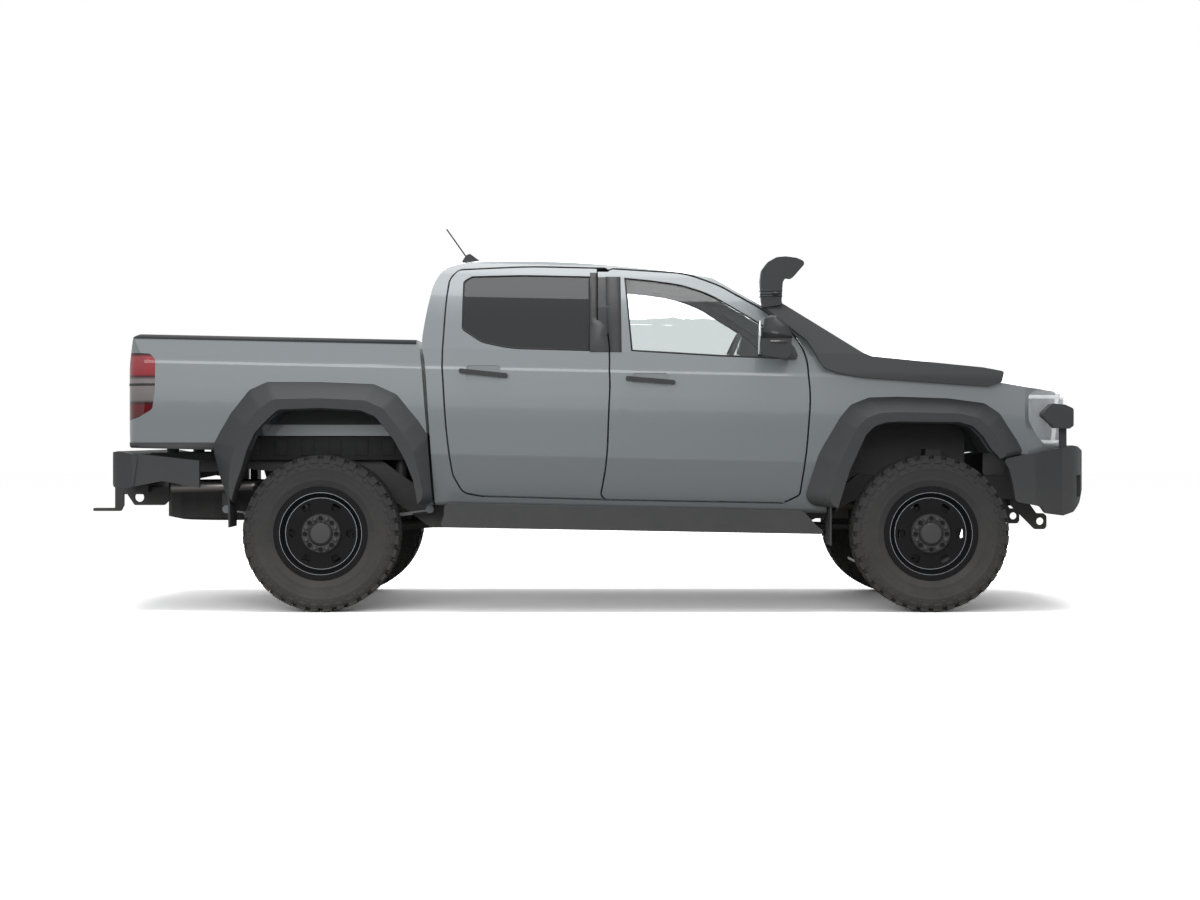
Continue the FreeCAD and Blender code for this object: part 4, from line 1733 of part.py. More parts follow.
keep("prop_shafts", Part.makeCompound([shaft(rear_flange, rear_nose, d.rear_shaft_radius),
                                       shaft(front_flange, front_nose, d.front_shaft_radius)]))

# Exhaust on the right side.
EXHAUST_SHARES = [
    (0.900, -0.290, 0.290), (0.760, -0.330, 0.276), (0.130, -0.330, 0.276), (0.040, -0.330, 0.330),
    (-0.093, -0.330, 0.345), (-0.125, -0.700, 0.347), (-0.261, -0.700, 0.343),
]
exhaust_points = [Vector(along(x), out(y), up(z)) for x, y, z in EXHAUST_SHARES]
exhaust_pieces = []
for first, last in zip(exhaust_points, exhaust_points[1:]):
    exhaust_pieces += [bar(first, last, d.pipe_radius), Part.makeSphere(d.pipe_radius, first)]
silencer = bar(Vector(along(0.270), out(-0.330), up(0.276)), Vector(along(0.440), out(-0.330), up(0.276)),
               d.silencer_radius)
hanger = block(along(0.400) - d.pipe_radius / 2, along(0.400) + d.pipe_radius / 2, out(-0.330),
               d.seat_gap - rail_inner, up(0.276) - d.pipe_radius / 2, up(0.276) + d.pipe_radius / 2)
exhaust_cut = engine.fuse(engine_mounts)
keep("exhaust", largest(joined(exhaust_pieces + [silencer, hanger]).cut(exhaust_cut)))

# Fuel tank inside the left rail.
tank = block(along(0.120), along(0.400), out(0.080), rail_inner - d.seat_gap, up(0.225), up(0.292))
keep("fuel_tank", tank.makeFillet(d.soft_corner, tank.Edges[:4]))

# Skid plate under the front suspension.
SKID_SHARES = [(0.905, 0.109), (1.085, 0.109), (1.130, 0.150), (1.130, 0.157), (1.082, 0.116), (0.905, 0.116)]
skid_top = lower_z - d.arm_pivot_radius - d.seat_gap
skid = flat_prism(SKID_SHARES, -out(0.400), out(0.400), 0.0)
skid.translate(Vector(0, 0, skid_top - up(0.116)))
keep("skid_plate", skid)

# Spare wheel flat under the bed, held by its winch.
SPARE_SHARES = [(0.000, 1.000), (0.430, 1.000), (0.500, 0.520), (0.393, 0.000)]
spare_x = along(-0.1830)
spare_z = up(0.300)
spare_height = d.spare_radius - d.bead_radius
half_spare = tyre_side(SPARE_SHARES, d.spare_width, d.bead_radius, spare_height, d.tyre_sides)
spare = joined([half_spare, half_spare.mirror(Vector(0, 0, 0), AXIS_Y)])
spare = spare.cut(bead_hole(d.bead_radius, d.spare_width, d.tyre_sides))
disc_ring = ring_points(d.spare_width / 4, d.bead_radius + d.rim_wall, d.tyre_sides)
spare = spare.fuse(flat_face(disc_ring[:-1]).extrude(Vector(0, -d.rim_wall, 0)))
spare.rotate(Vector(0, 0, 0), AXIS_X, 90)
spare.translate(Vector(spare_x, 0, spare_z))
winch_rod = bar(Vector(spare_x, 0, spare_z + d.spare_width / 4 - d.rim_wall / 2),
                Vector(spare_x, 0, up(0.420) - d.cross_radius - d.seat_gap), d.shaft_radius)
keep("spare_wheel", joined([spare, winch_rod]))

# Seats on the cab's floor.
CUSHION_SHARES = [(0.490, 0.448), (0.490, 0.505), (0.620, 0.515), (0.640, 0.500), (0.635, 0.448)]
BACKREST_SHARES = [
    (0.492, 0.470), (0.430, 0.800), (0.440, 0.828), (0.470, 0.828), (0.532, 0.500), (0.525, 0.470),
]
HEADREST_SHARES = [(0.436, 0.820), (0.424, 0.905), (0.450, 0.915), (0.466, 0.820)]
BASE_SHARES = [(0.500, 0.300, 0.0), (0.500, 0.460, 0.0), (0.620, 0.460, 0.0), (0.620, 0.300, 0.0)]
cushion_y = (d.seat_side - d.seat_half_width, d.seat_side + d.seat_half_width)
headrest_half = d.seat_half_width / 2
base_y = (tunnel_half + d.hinge_plate, d.seat_side + d.seat_base_half)
seat = joined([
    flat_prism(CUSHION_SHARES, cushion_y[0], cushion_y[1], d.soft_corner),
    flat_prism(BACKREST_SHARES, cushion_y[0], cushion_y[1], d.soft_corner),
    flat_prism(HEADREST_SHARES, d.seat_side - headrest_half, d.seat_side + headrest_half, d.soft_corner),
    flat_prism(BASE_SHARES, base_y[0], base_y[1], 0.0).common(cab_inner),
])
seat.translate(Vector(0, 0, d.seat_gap))
keep("front_seats", both(seat))
BENCH_SHARES = [
    (0.265, 0.300, 0.0), (0.230, 0.480), (0.210, 0.800), (0.220, 0.830), (0.245, 0.830), (0.290, 0.540),
    (0.385, 0.525), (0.405, 0.505), (0.400, 0.440), (0.380, 0.300, 0.0),
]
bench_half = out(0.700)
bench = flat_prism(BENCH_SHARES, -bench_half, bench_half, d.soft_corner).common(cab_inner)
bench.translate(Vector(0, 0, d.seat_gap))
keep("rear_bench", largest(bench))

# Dashboard with the steering column's shroud, and the steering wheel on the left-hand side.
DASH_SHARES = [
    (0.735, 0.560), (0.725, 0.640), (0.745, 0.690), (0.800, 0.712), (0.870, 0.735), (0.870, 0.540, 0.0),
    (0.770, 0.500),
]
dash = flat_prism(DASH_SHARES, -out(0.820), out(0.820), d.soft_corner).common(cab_inner)
wheel_centre = Vector(along(0.686), d.seat_side, up(0.712))
column_axis = Vector(-math.cos(math.radians(d.steering_tilt)), 0, math.sin(math.radians(d.steering_tilt)))
hub_back = wheel_centre - column_axis * d.hub_cap_depth
shroud = bar(hub_back - column_axis * d.seat_gap, hub_back - column_axis * d.shroud_length,
             d.shroud_radius)
dash = joined([largest(dash), shroud.common(cab_inner)])
dash.translate(Vector(-d.seat_gap, 0, 0))
keep("dashboard", largest(dash))
rim_ring = Part.makeTorus(d.steering_wheel_radius - d.steering_wheel_grip, d.steering_wheel_grip)
spokes = [Part.makeCylinder(d.boss_radius, d.boss_depth, Vector(0, 0, -d.column_radius)),
          Part.makeCylinder(d.column_radius, d.hub_cap_depth, Vector(0, 0, -d.hub_cap_depth))]
for angle in (0, 180, 270):
    spoke = Part.makeBox(d.steering_wheel_radius - d.steering_wheel_grip, d.soft_corner,
                         d.steering_wheel_grip, Vector(0, -d.soft_corner / 2, -d.steering_wheel_grip))
    spoke.rotate(Vector(0, 0, 0), AXIS_Z, angle)
    spokes.append(spoke)
wheel_shape = joined([rim_ring] + spokes)
wheel_shape.Placement = Placement(wheel_centre, Rotation(AXIS_Y, d.steering_tilt - 90))
keep("steering_wheel", wheel_shape)


# Every feature and every sub-part's shape is checked before anything is written.
doc.recompute()
for feature in doc.Objects:
    if "Invalid" in feature.State or "Error" in feature.State:
        raise RuntimeError("failed feature: " + feature.Label)
for name, feature in nodes.items():
    if feature.Shape.isNull() or not feature.Shape.isValid() or not feature.Shape.Solids:
        raise RuntimeError("bad shape: " + name)
os.makedirs("parts", exist_ok=True)
for name, feature in nodes.items():
    feature.Shape.exportStep("parts/%s.step" % name)
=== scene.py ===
import math
import bmesh
import bpy
from mathutils import Matrix, Vector


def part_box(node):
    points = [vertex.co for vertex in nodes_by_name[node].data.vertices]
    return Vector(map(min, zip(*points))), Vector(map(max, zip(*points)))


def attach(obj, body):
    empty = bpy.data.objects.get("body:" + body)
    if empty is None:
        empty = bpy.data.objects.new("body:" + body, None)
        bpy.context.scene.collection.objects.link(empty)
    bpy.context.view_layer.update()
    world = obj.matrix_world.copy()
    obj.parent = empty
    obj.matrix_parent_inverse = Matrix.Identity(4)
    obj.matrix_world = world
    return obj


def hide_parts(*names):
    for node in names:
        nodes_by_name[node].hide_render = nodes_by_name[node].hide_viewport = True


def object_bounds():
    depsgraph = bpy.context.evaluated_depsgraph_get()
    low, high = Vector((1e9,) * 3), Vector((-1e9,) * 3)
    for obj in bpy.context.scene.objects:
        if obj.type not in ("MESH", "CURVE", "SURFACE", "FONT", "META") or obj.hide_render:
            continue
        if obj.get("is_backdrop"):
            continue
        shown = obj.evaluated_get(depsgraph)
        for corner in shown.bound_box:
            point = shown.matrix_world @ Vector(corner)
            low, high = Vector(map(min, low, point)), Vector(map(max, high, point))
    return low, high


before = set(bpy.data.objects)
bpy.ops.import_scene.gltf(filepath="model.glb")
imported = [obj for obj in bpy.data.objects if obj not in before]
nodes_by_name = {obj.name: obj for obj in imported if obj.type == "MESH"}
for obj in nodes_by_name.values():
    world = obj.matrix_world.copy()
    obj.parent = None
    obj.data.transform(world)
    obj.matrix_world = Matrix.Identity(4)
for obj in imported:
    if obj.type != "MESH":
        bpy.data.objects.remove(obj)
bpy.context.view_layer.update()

world_scene = bpy.context.scene
world_scene.view_settings.view_transform = "Standard"

# The camera stands square to the right side of the truck, 14 m from its middle and at about half
# its height, as the photograph was taken. A small shift puts the horizon a little above the middle.
PHOTO_WIDTH = 1200
FOCAL_PIXELS = 2437
HORIZON_PIXELS_UP = 16
SENSOR = 36.0
CAMERA_PLACE = (0.1005, -14.02, 0.955)
camera_data = bpy.data.cameras.new("studio_camera")
camera_data.sensor_width = SENSOR
camera_data.lens = FOCAL_PIXELS / PHOTO_WIDTH * SENSOR
camera_data.shift_y = -HORIZON_PIXELS_UP / PHOTO_WIDTH
camera_data.clip_end = 200.0
camera = bpy.data.objects.new("studio_camera", camera_data)
camera.location = CAMERA_PLACE
camera.rotation_euler = (math.radians(90), 0, 0)
world_scene.collection.objects.link(camera)
world_scene.camera = camera


def connect(tree, source, output, target, socket):
    """Links two nodes of a tree by the names or numbers of their sockets."""
    tree.links.new(source.outputs[output], target.inputs[socket])


def sum_node(tree, operation):
    """Node of a tree that does one sum."""
    node = tree.nodes.new("ShaderNodeMath")
    node.operation = operation
    return node


def blend_node(tree, kind):
    """Node of a tree that blends two values or two colours."""
    node = tree.nodes.new("ShaderNodeMix")
    node.data_type = kind
    return node


# The studio: a pale floor that keeps the truck's shadow, a white room, one wide soft lamp above
# and a weaker one on each side. The camera sees both as white, and glass and metal the room too.
FLOOR_SIZE = 90
FLOOR_SEEN = 2.75
FLOOR_BOUNCE = 0.42
ROOM_SEEN = 1.0
ROOM_LIGHT = 0.36
bpy.ops.mesh.primitive_plane_add(size=FLOOR_SIZE, location=(0, 0, 0))
floor = bpy.context.object
floor.name = "studio_floor"
floor_material = bpy.data.materials.new("pale_studio_floor")
floor_material.use_nodes = True
tree = floor_material.node_tree
floor_shader = tree.nodes["Principled BSDF"]
floor_shader.inputs["Roughness"].default_value = 1.0
floor_shader.inputs["Specular IOR Level"].default_value = 0.0
path = tree.nodes.new("ShaderNodeLightPath")
seen = blend_node(tree, "FLOAT")
seen.inputs["A"].default_value = FLOOR_BOUNCE
seen.inputs["B"].default_value = FLOOR_SEEN
connect(tree, path, "Is Camera Ray", seen, "Factor")
connect(tree, seen, "Result", floor_shader, "Base Color")
floor.data.materials.append(floor_material)
floor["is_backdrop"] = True

room = bpy.data.worlds.new("white_room")
world_scene.world = room
room.use_nodes = True
tree = room.node_tree
sky = tree.nodes["Background"]
sky.inputs["Color"].default_value = (1, 1, 1, 1)
path = tree.nodes.new("ShaderNodeLightPath")
camera_or_glass = sum_node(tree, "MAXIMUM")
connect(tree, path, "Is Camera Ray", camera_or_glass, 0)
connect(tree, path, "Is Transmission Ray", camera_or_glass, 1)
any_view = sum_node(tree, "MAXIMUM")
connect(tree, camera_or_glass, 0, any_view, 0)
connect(tree, path, "Is Glossy Ray", any_view, 1)
strength = blend_node(tree, "FLOAT")
strength.inputs["A"].default_value = ROOM_LIGHT
strength.inputs["B"].default_value = ROOM_SEEN
connect(tree, any_view, 0, strength, "Factor")
connect(tree, strength, "Result", sky, "Strength")

for lamp_name, place, target, lamp_size, power in (
        ("lamp_above", (0, -0.5, 6.5), (0, 0, 0), (8.0, 4.0), 300),
        ("lamp_right_side", (-2.0, -10.0, 3.4), (0, 0, 0.9), (8.0, 2.6), 260),
        ("lamp_left_side", (2.0, 10.0, 3.4), (0, 0, 0.9), (8.0, 2.6), 160)):
    lamp_data = bpy.data.lights.new(lamp_name, "AREA")
    lamp_data.shape = "RECTANGLE"
    lamp_data.size, lamp_data.size_y = lamp_size
    lamp_data.energy = power
    lamp = bpy.data.objects.new(lamp_name, lamp_data)
    lamp.location = place
    lamp.rotation_euler = (Vector(target) - Vector(place)).to_track_quat("-Z", "Y").to_euler()
    world_scene.collection.objects.link(lamp)


# Every finish is built from the same few effects: a fine grain for moulded plastic, castings and
# rubber, and road dust that gathers low on the truck. Each is a group of shader nodes.
def effect_group(name, inputs, outputs):
    """New group of shader nodes with its named sockets."""
    group = bpy.data.node_groups.new(name, "ShaderNodeTree")
    for label, value in inputs:
        socket = group.interface.new_socket(label, in_out="INPUT", socket_type="NodeSocketFloat")
        socket.default_value = value
    for label in outputs:
        group.interface.new_socket(label, in_out="OUTPUT", socket_type="NodeSocketFloat")
    start = group.nodes.new("NodeGroupInput")
    end = group.nodes.new("NodeGroupOutput")
    return group, start, end


grain_group, start, end = effect_group(
    "moulded_grain", [("Scale", 900.0), ("Depth", 0.5)], ["Height", "Spots"])
place = grain_group.nodes.new("ShaderNodeTexCoord")
fine = grain_group.nodes.new("ShaderNodeTexNoise")
fine.inputs["Detail"].default_value = 3.0
cells = grain_group.nodes.new("ShaderNodeTexVoronoi")
connect(grain_group, place, "Object", fine, "Vector")
connect(grain_group, place, "Object", cells, "Vector")
connect(grain_group, start, "Scale", fine, "Scale")
connect(grain_group, start, "Scale", cells, "Scale")
heights = sum_node(grain_group, "MULTIPLY_ADD")
connect(grain_group, cells, "Distance", heights, 0)
connect(grain_group, start, "Depth", heights, 1)
connect(grain_group, fine, "Fac", heights, 2)
connect(grain_group, heights, 0, end, "Height")
connect(grain_group, fine, "Fac", end, "Spots")

dust_group, start, end = effect_group(
    "road_dust", [("Top", 0.9), ("Amount", 0.3), ("Scale", 6.0)], ["Mask"])
place = dust_group.nodes.new("ShaderNodeTexCoord")
split = dust_group.nodes.new("ShaderNodeSeparateXYZ")
connect(dust_group, place, "Object", split, "Vector")
height = dust_group.nodes.new("ShaderNodeMapRange")
height.inputs["To Min"].default_value = 1.0
height.inputs["To Max"].default_value = 0.0
connect(dust_group, split, "Z", height, "Value")
connect(dust_group, start, "Top", height, "From Max")
patches = dust_group.nodes.new("ShaderNodeTexNoise")
patches.inputs["Detail"].default_value = 6.0
patches.inputs["Roughness"].default_value = 0.65
connect(dust_group, place, "Object", patches, "Vector")
connect(dust_group, start, "Scale", patches, "Scale")
low_patches = sum_node(dust_group, "MULTIPLY")
connect(dust_group, height, "Result", low_patches, 0)
connect(dust_group, patches, "Fac", low_patches, 1)
dust_mask = sum_node(dust_group, "MULTIPLY")
connect(dust_group, low_patches, 0, dust_mask, 0)
connect(dust_group, start, "Amount", dust_mask, 1)
connect(dust_group, dust_mask, 0, end, "Mask")
DUST = (0.36, 0.33, 0.29, 1.0)
COAT_ROUGHNESS = 0.06
GRAIN_RELIEF = 0.001
ROUGHNESS_SPREAD = 0.1


def finish(name, colour, roughness, metallic=0.0, coat=0.0, grain=900.0, bump=0.1, mottle=0.12,
           dust=0.0, sheen=0.0):
    """Procedural finish with grain, mottled colour and road dust."""
    material = bpy.data.materials.new(name)
    material.use_nodes = True
    tree = material.node_tree
    shader = tree.nodes["Principled BSDF"]
    shader.inputs["Metallic"].default_value = metallic
    shader.inputs["Coat Weight"].default_value = coat
    shader.inputs["Coat Roughness"].default_value = COAT_ROUGHNESS
    shader.inputs["Sheen Weight"].default_value = sheen
    grains = tree.nodes.new("ShaderNodeGroup")
    grains.node_tree = grain_group
    grains.inputs["Scale"].default_value = grain
    relief = tree.nodes.new("ShaderNodeBump")
    relief.inputs["Strength"].default_value = bump
    relief.inputs["Distance"].default_value = GRAIN_RELIEF
    connect(tree, grains, "Height", relief, "Height")
    connect(tree, relief, "Normal", shader, "Normal")
    shades = blend_node(tree, "RGBA")
    dark = tuple(c * (1 - mottle) for c in colour)
    light = tuple(min(1.0, c * (1 + mottle)) for c in colour)
    shades.inputs["A"].default_value = (*dark, 1.0)
    shades.inputs["B"].default_value = (*light, 1.0)
    connect(tree, grains, "Spots", shades, "Factor")
    dirt = tree.nodes.new("ShaderNodeGroup")
    dirt.node_tree = dust_group
    dirt.inputs["Amount"].default_value = dust
    dusty = blend_node(tree, "RGBA")
    dusty.inputs["B"].default_value = DUST
    connect(tree, dirt, "Mask", dusty, "Factor")
    connect(tree, shades, "Result", dusty, "A")
    connect(tree, dusty, "Result", shader, "Base Color")
    rough = tree.nodes.new("ShaderNodeMapRange")
    rough.inputs["To Min"].default_value = roughness * (1 - ROUGHNESS_SPREAD)
    rough.inputs["To Max"].default_value = min(1.0, roughness * (1 + ROUGHNESS_SPREAD))
    connect(tree, grains, "Spots", rough, "Value")
    connect(tree, rough, "Result", shader, "Roughness")
    return material


def dress(material, *names):
    """Gives CAD nodes their finish."""
    for name in names:
        slots = nodes_by_name[name].data.materials
        slots.clear()
        slots.append(material)


# Painted steel panels: cab, doors, bonnet, wings, load bed and tailgate, pressed and welded or
# hinged, in a cool grey with very fine flakes under a clear coat.
body_paint = finish("cool_grey_paint", (0.245, 0.272, 0.285), 0.40, metallic=0.2, coat=0.8,
                    grain=2600.0, bump=0.02, mottle=0.08, dust=0.10)
dress(body_paint, "cab_shell", "front_door_left", "front_door_right", "rear_door_left",
      "rear_door_right", "bonnet", "front_wings", "load_bed", "tailgate")


# Glass: the screen, the rear window and the front door panes are clear with a slight tint, and
# the rear doors have dark privacy glass. The panes are bonded to the shell or held by their doors.
def glazing(name, colour, roughness, transmission):
    """Tinted pane."""
    material = bpy.data.materials.new(name)
    material.use_nodes = True
    shader = material.node_tree.nodes["Principled BSDF"]
    shader.inputs["Base Color"].default_value = (*colour, 1.0)
    shader.inputs["Roughness"].default_value = roughness
    shader.inputs["Transmission Weight"].default_value = transmission
    shader.inputs["IOR"].default_value = 1.45
    return material


clear_glass = glazing("clear_glass", (0.80, 0.84, 0.84), 0.0, 1.0)
privacy_glass = glazing("privacy_glass", (0.03, 0.035, 0.04), 0.03, 0.35)
dress(clear_glass, "cab_glass", "front_glass_left", "front_glass_right")
dress(privacy_glass, "rear_glass_left", "rear_glass_right")

# Moulded charcoal plastic: flares, liners, bumpers, snorkel, side steps, mirrors, handles, grille,
# driving lamp bodies, aerial, dashboard and steering wheel, all with a leathery grain.
charcoal_plastic = finish("charcoal_plastic", (0.05, 0.052, 0.056), 0.62, grain=1300.0, bump=0.35,
                          mottle=0.2, dust=0.25)
dress(charcoal_plastic, "wheel_flares", "wheel_liners", "front_bumper", "rear_bumper", "snorkel",
      "side_steps", "front_fittings_left", "front_fittings_right", "rear_handle_left",
      "rear_handle_right", "driving_lamps", "grille_panel", "aerial", "dashboard",
      "steering_wheel")

# Running gear under the body: a welded frame and arms in satin black, castings for axles and
# knuckles, spring steel, a bare exhaust and a bare skid plate, all with road dust.
frame_steel = finish("frame_steel", (0.035, 0.036, 0.038), 0.5, grain=400.0, bump=0.15, dust=0.45)
cast_metal = finish("cast_metal", (0.13, 0.13, 0.13), 0.6, metallic=0.7, grain=350.0, bump=0.5,
                    dust=0.4)
spring_steel = finish("spring_steel", (0.16, 0.165, 0.17), 0.42, metallic=0.8, grain=500.0,
                      bump=0.1, dust=0.3)
exhaust_steel = finish("exhaust_steel", (0.3, 0.29, 0.28), 0.4, metallic=1.0, grain=300.0,
                       bump=0.1, dust=0.3)
skid_metal = finish("skid_metal", (0.35, 0.36, 0.37), 0.35, metallic=1.0, grain=500.0, bump=0.1,
                    dust=0.25)
dress(frame_steel, "ladder_frame", "recovery_eyes", "front_arms", "tow_tongue", "prop_shafts",
      "fuel_tank", "tie_rods")
dress(cast_metal, "steering_rack", "front_drive", "rear_axle", "knuckle_left", "knuckle_right",
      "powertrain")
dress(spring_steel, "springs_and_dampers")
dress(exhaust_steel, "exhaust")
dress(skid_metal, "skid_plate")

# Trims that follow the pressed skin: black strips on the doors' window frames, covers on the cab's
# posts, caps on the bed's rails and the tailgate, and strips along the bed's sills. Each is a thin
# moulding, rubber on the posts and plastic elsewhere, glued on and cut here from the panel's skin.
WHEELBASE, ROOF = 3.27, 1.935
REAR_AXLE = -1.395963
FRONT_AXLE = REAR_AXLE + WHEELBASE
SIDES = {"left": 1, "right": -1}
SMOOTH_ANGLE = 40
WELD = 0.00002
LIFT = 0.0004
pillar_black = finish("pillar_black_plastic", (0.030, 0.031, 0.033), 0.5, grain=1500.0, bump=0.05,
                      mottle=0.1, dust=0.03)
seal_rubber = finish("seal_rubber", (0.02, 0.02, 0.021), 0.75, grain=1800.0, bump=0.25, mottle=0.2)


def along(share):
    """Lengthwise place of a share of the wheelbase."""
    return REAR_AXLE + share * WHEELBASE


def up(share):
    """Height of a share of the roof height."""
    return share * ROOF


def ahead_of(x):
    """Cut that keeps what lies ahead of a place."""
    return (x, 0, 0), (-1, 0, 0)


def behind(x):
    """Cut that keeps what lies behind a place."""
    return (x, 0, 0), (1, 0, 0)


def above(z):
    """Cut that keeps what lies above a height."""
    return (0, 0, z), (0, 0, -1)


def below(z):
    """Cut that keeps what lies below a height."""
    return (0, 0, z), (0, 0, 1)


def outside(side, y):
    """Cut that keeps what lies further out than a distance from the middle."""
    return (0, side * y, 0), (0, -side, 0)


def inside(side, y):
    """Cut that keeps what lies further in than a distance from the middle."""
    return (0, side * y, 0), (0, side, 0)


def settle(mesh, name, material, body, smooth=SMOOTH_ANGLE):
    """Finished piece of a mesh, with its material, that rides on a body."""
    data = bpy.data.meshes.new(name)
    mesh.to_mesh(data)
    mesh.free()
    data.materials.append(material)
    data.polygons.foreach_set("use_smooth", [True] * len(data.polygons))
    data.set_sharp_from_angle(angle=math.radians(smooth))
    piece = bpy.data.objects.new(name, data)
    world_scene.collection.objects.link(piece)
    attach(piece, body)
    return piece


def skin(node, facing, cuts, reach=0.35):
    """Outer skin of a CAD node that faces a direction, cut off outside each plane."""
    mesh = bmesh.new()
    mesh.from_mesh(nodes_by_name[node].data)
    bmesh.ops.remove_doubles(mesh, verts=mesh.verts, dist=WELD)
    for plane, outwards in cuts:
        bmesh.ops.bisect_plane(mesh, geom=mesh.verts[:] + mesh.edges[:] + mesh.faces[:],
                               plane_co=plane, plane_no=outwards, clear_outer=True)
    facing = Vector(facing).normalized()
    mesh.normal_update()
    spare = [face for face in mesh.faces if face.normal.dot(facing) < reach]
    bmesh.ops.delete(mesh, geom=spare, context="FACES")
    return mesh


def walled(piece, thickness, outwards=1.0):
    """Gives a piece its wall thickness, outwards or inwards of its surface."""
    wall = piece.modifiers.new("wall", "SOLIDIFY")
    wall.thickness = thickness
    wall.offset = outwards


def lay(mesh, name, thickness, material, body):
    """Strip of skin lifted off its panel and given its thickness."""
    mesh.normal_update()
    for vert in mesh.verts:
        vert.co += vert.normal * LIFT
    walled(settle(mesh, name, material, body), thickness)


FRAME_WALL, POST_WALL, CAP_WALL = 0.0018, 0.001, 0.003
FRAME_FOOT, FRAME_INNER = up(0.7215), 0.55
REAR_FRAME_START, REAR_FRAME_TOP = along(0.441), up(0.950)
FRONT_FRAME_END, FRONT_FRAME_TOP, FRONT_FRAME_LEAN = along(0.4985), up(0.938), 0.012
POST_REAR, POST_FRONT, POST_FOOT, POST_TOP, POST_INNER = 0.076, 0.205, 0.72, 1.86, 0.52
RAIL_START, RAIL_END, RAIL_INNER = along(-0.300), along(0.155), 0.60
RAIL_EDGE, RAIL_FALL = up(0.770) - 0.020, 0.021
SILL_END, SILL_TOP, SILL_INNER = -1.93, up(0.470), 0.80
GATE_EDGE = up(0.771) - 0.020
TOP_REACH = 0.2
for side_name, side in SIDES.items():
    facing = (0, side, 0.3)
    rear_frame = skin("rear_door_" + side_name, facing, [
        ahead_of(REAR_FRAME_START), above(FRAME_FOOT), below(REAR_FRAME_TOP),
        outside(side, FRAME_INNER)])
    lay(rear_frame, "rear_pillar_trim_" + side_name, FRAME_WALL, pillar_black,
        "rear_door_" + side_name)
    front_frame = skin("front_door_" + side_name, facing, [
        ((FRONT_FRAME_END, 0, 0), (1, 0, FRONT_FRAME_LEAN)), above(FRAME_FOOT),
        below(FRONT_FRAME_TOP), outside(side, FRAME_INNER)])
    lay(front_frame, "front_pillar_trim_" + side_name, FRAME_WALL, pillar_black,
        "front_door_" + side_name)
    post = skin("cab_shell", facing, [
        ahead_of(POST_REAR), behind(POST_FRONT), above(POST_FOOT), below(POST_TOP),
        outside(side, POST_INNER)])
    lay(post, "post_cover_" + side_name, POST_WALL, seal_rubber, "truck")
    rail = skin("load_bed", (0, side, 1), [
        ((RAIL_START, 0, RAIL_EDGE), (-RAIL_FALL, 0, -1)), outside(side, RAIL_INNER),
        behind(RAIL_END)], TOP_REACH)
    lay(rail, "bed_rail_cap_" + side_name, CAP_WALL, charcoal_plastic, "truck")
    sill = skin("load_bed", facing, [
        behind(SILL_END), below(SILL_TOP), outside(side, SILL_INNER)])
    lay(sill, "bed_sill_trim_" + side_name, CAP_WALL, charcoal_plastic, "truck")
gate_top = skin("tailgate", (-1, 0, 1), [above(GATE_EDGE)], TOP_REACH)
lay(gate_top, "tailgate_cap", CAP_WALL, charcoal_plastic, "tailgate")


# Window seals: a rubber lip round each door pane, extruded and pressed onto the door's frame, that
# lies on the edge of the glass and is as wide as a finger.
SEAL_WIDTH, SEAL_WALL = 0.009, 0.003
PANE_REACH = 0.5


def pane_seal(node, facing, width):
    """Ring along the edge of a pane's outer face."""
    mesh = skin(node, facing, [], PANE_REACH)
    rim = bmesh.ops.inset_region(mesh, faces=mesh.faces[:], thickness=width, use_boundary=True,
                                 use_even_offset=True)["faces"]
    inner = [face for face in mesh.faces if face not in set(rim)]
    bmesh.ops.delete(mesh, geom=inner, context="FACES")
    return mesh


for side_name, side in SIDES.items():
    for door in ("front", "rear"):
        ring = pane_seal("%s_glass_%s" % (door, side_name), (0, side, 0.3), SEAL_WIDTH)
        lay(ring, "%s_window_seal_%s" % (door, side_name), SEAL_WALL, seal_rubber,
            "%s_door_%s" % (door, side_name))

# Headlamps: each is a clear moulded lens over a pale housing, with a chromed bowl and three white
# light guides with a painted glow behind the lens, on its rear edge, top and foot. They bolt to the
# wings.
lamp_lens = glazing("lamp_lens", (0.80, 0.83, 0.86), 0.03, 0.0)
lamp_lens.node_tree.nodes["Principled BSDF"].inputs["Alpha"].default_value = 0.30
lamp_chrome = finish("lamp_chrome", (0.62, 0.63, 0.65), 0.12, metallic=1.0, grain=800.0, bump=0.02,
                     mottle=0.05)
light_guide_painted_glow = finish("white_guide_painted_glow", (0.78, 0.8, 0.82), 0.3, coat=0.4, grain=900.0, bump=0.02,
                     mottle=0.03)
# Painted glow: an emission brightens the light guides, though no lamp inside them is lit.
shader = light_guide_painted_glow.node_tree.nodes["Principled BSDF"]
shader.inputs["Emission Color"].default_value = (1.0, 1.0, 1.0, 1.0)
shader.inputs["Emission Strength"].default_value = 0.5
lamp_housing = finish("lamp_housing", (0.66, 0.68, 0.71), 0.35, coat=0.3, grain=1200.0, bump=0.1,
                      mottle=0.15)
AXIS_WELD = 0.00001
LAMP_INNER, LAMP_REACH, EVERY_WAY = 0.3, 0.25, -2.0
LENS_WALL, HOUSING_WALL, GUIDE_WALL = 0.003, 0.002, 0.003
GUIDE_BACK, GUIDE_IN = 0.004, 0.006
BOWL_CENTRE, BOWL_AXIS = Vector((2.600, 0.700, 1.045)), (1, 0.12, 0)
BOWL_ROWS = [(-0.020, 0.004), (-0.020, 0.018), (-0.012, 0.030), (0.010, 0.044), (0.013, 0.044),
             (-0.010, 0.028), (-0.016, 0.016), (-0.016, 0.004)]
EYE_ROWS = [(-0.016, 0.0), (-0.016, 0.017), (0.0, 0.017), (0.006, 0.012), (0.009, 0.006),
            (0.010, 0.0)]
GUIDES = {"rear": [((2.436, 0, 0), (-1, 0, 0.12)), ((2.462, 0, 0), (1, 0, -0.12))],
          "top": [above(1.146), below(1.166)], "foot": [above(0.905), below(0.922)]}


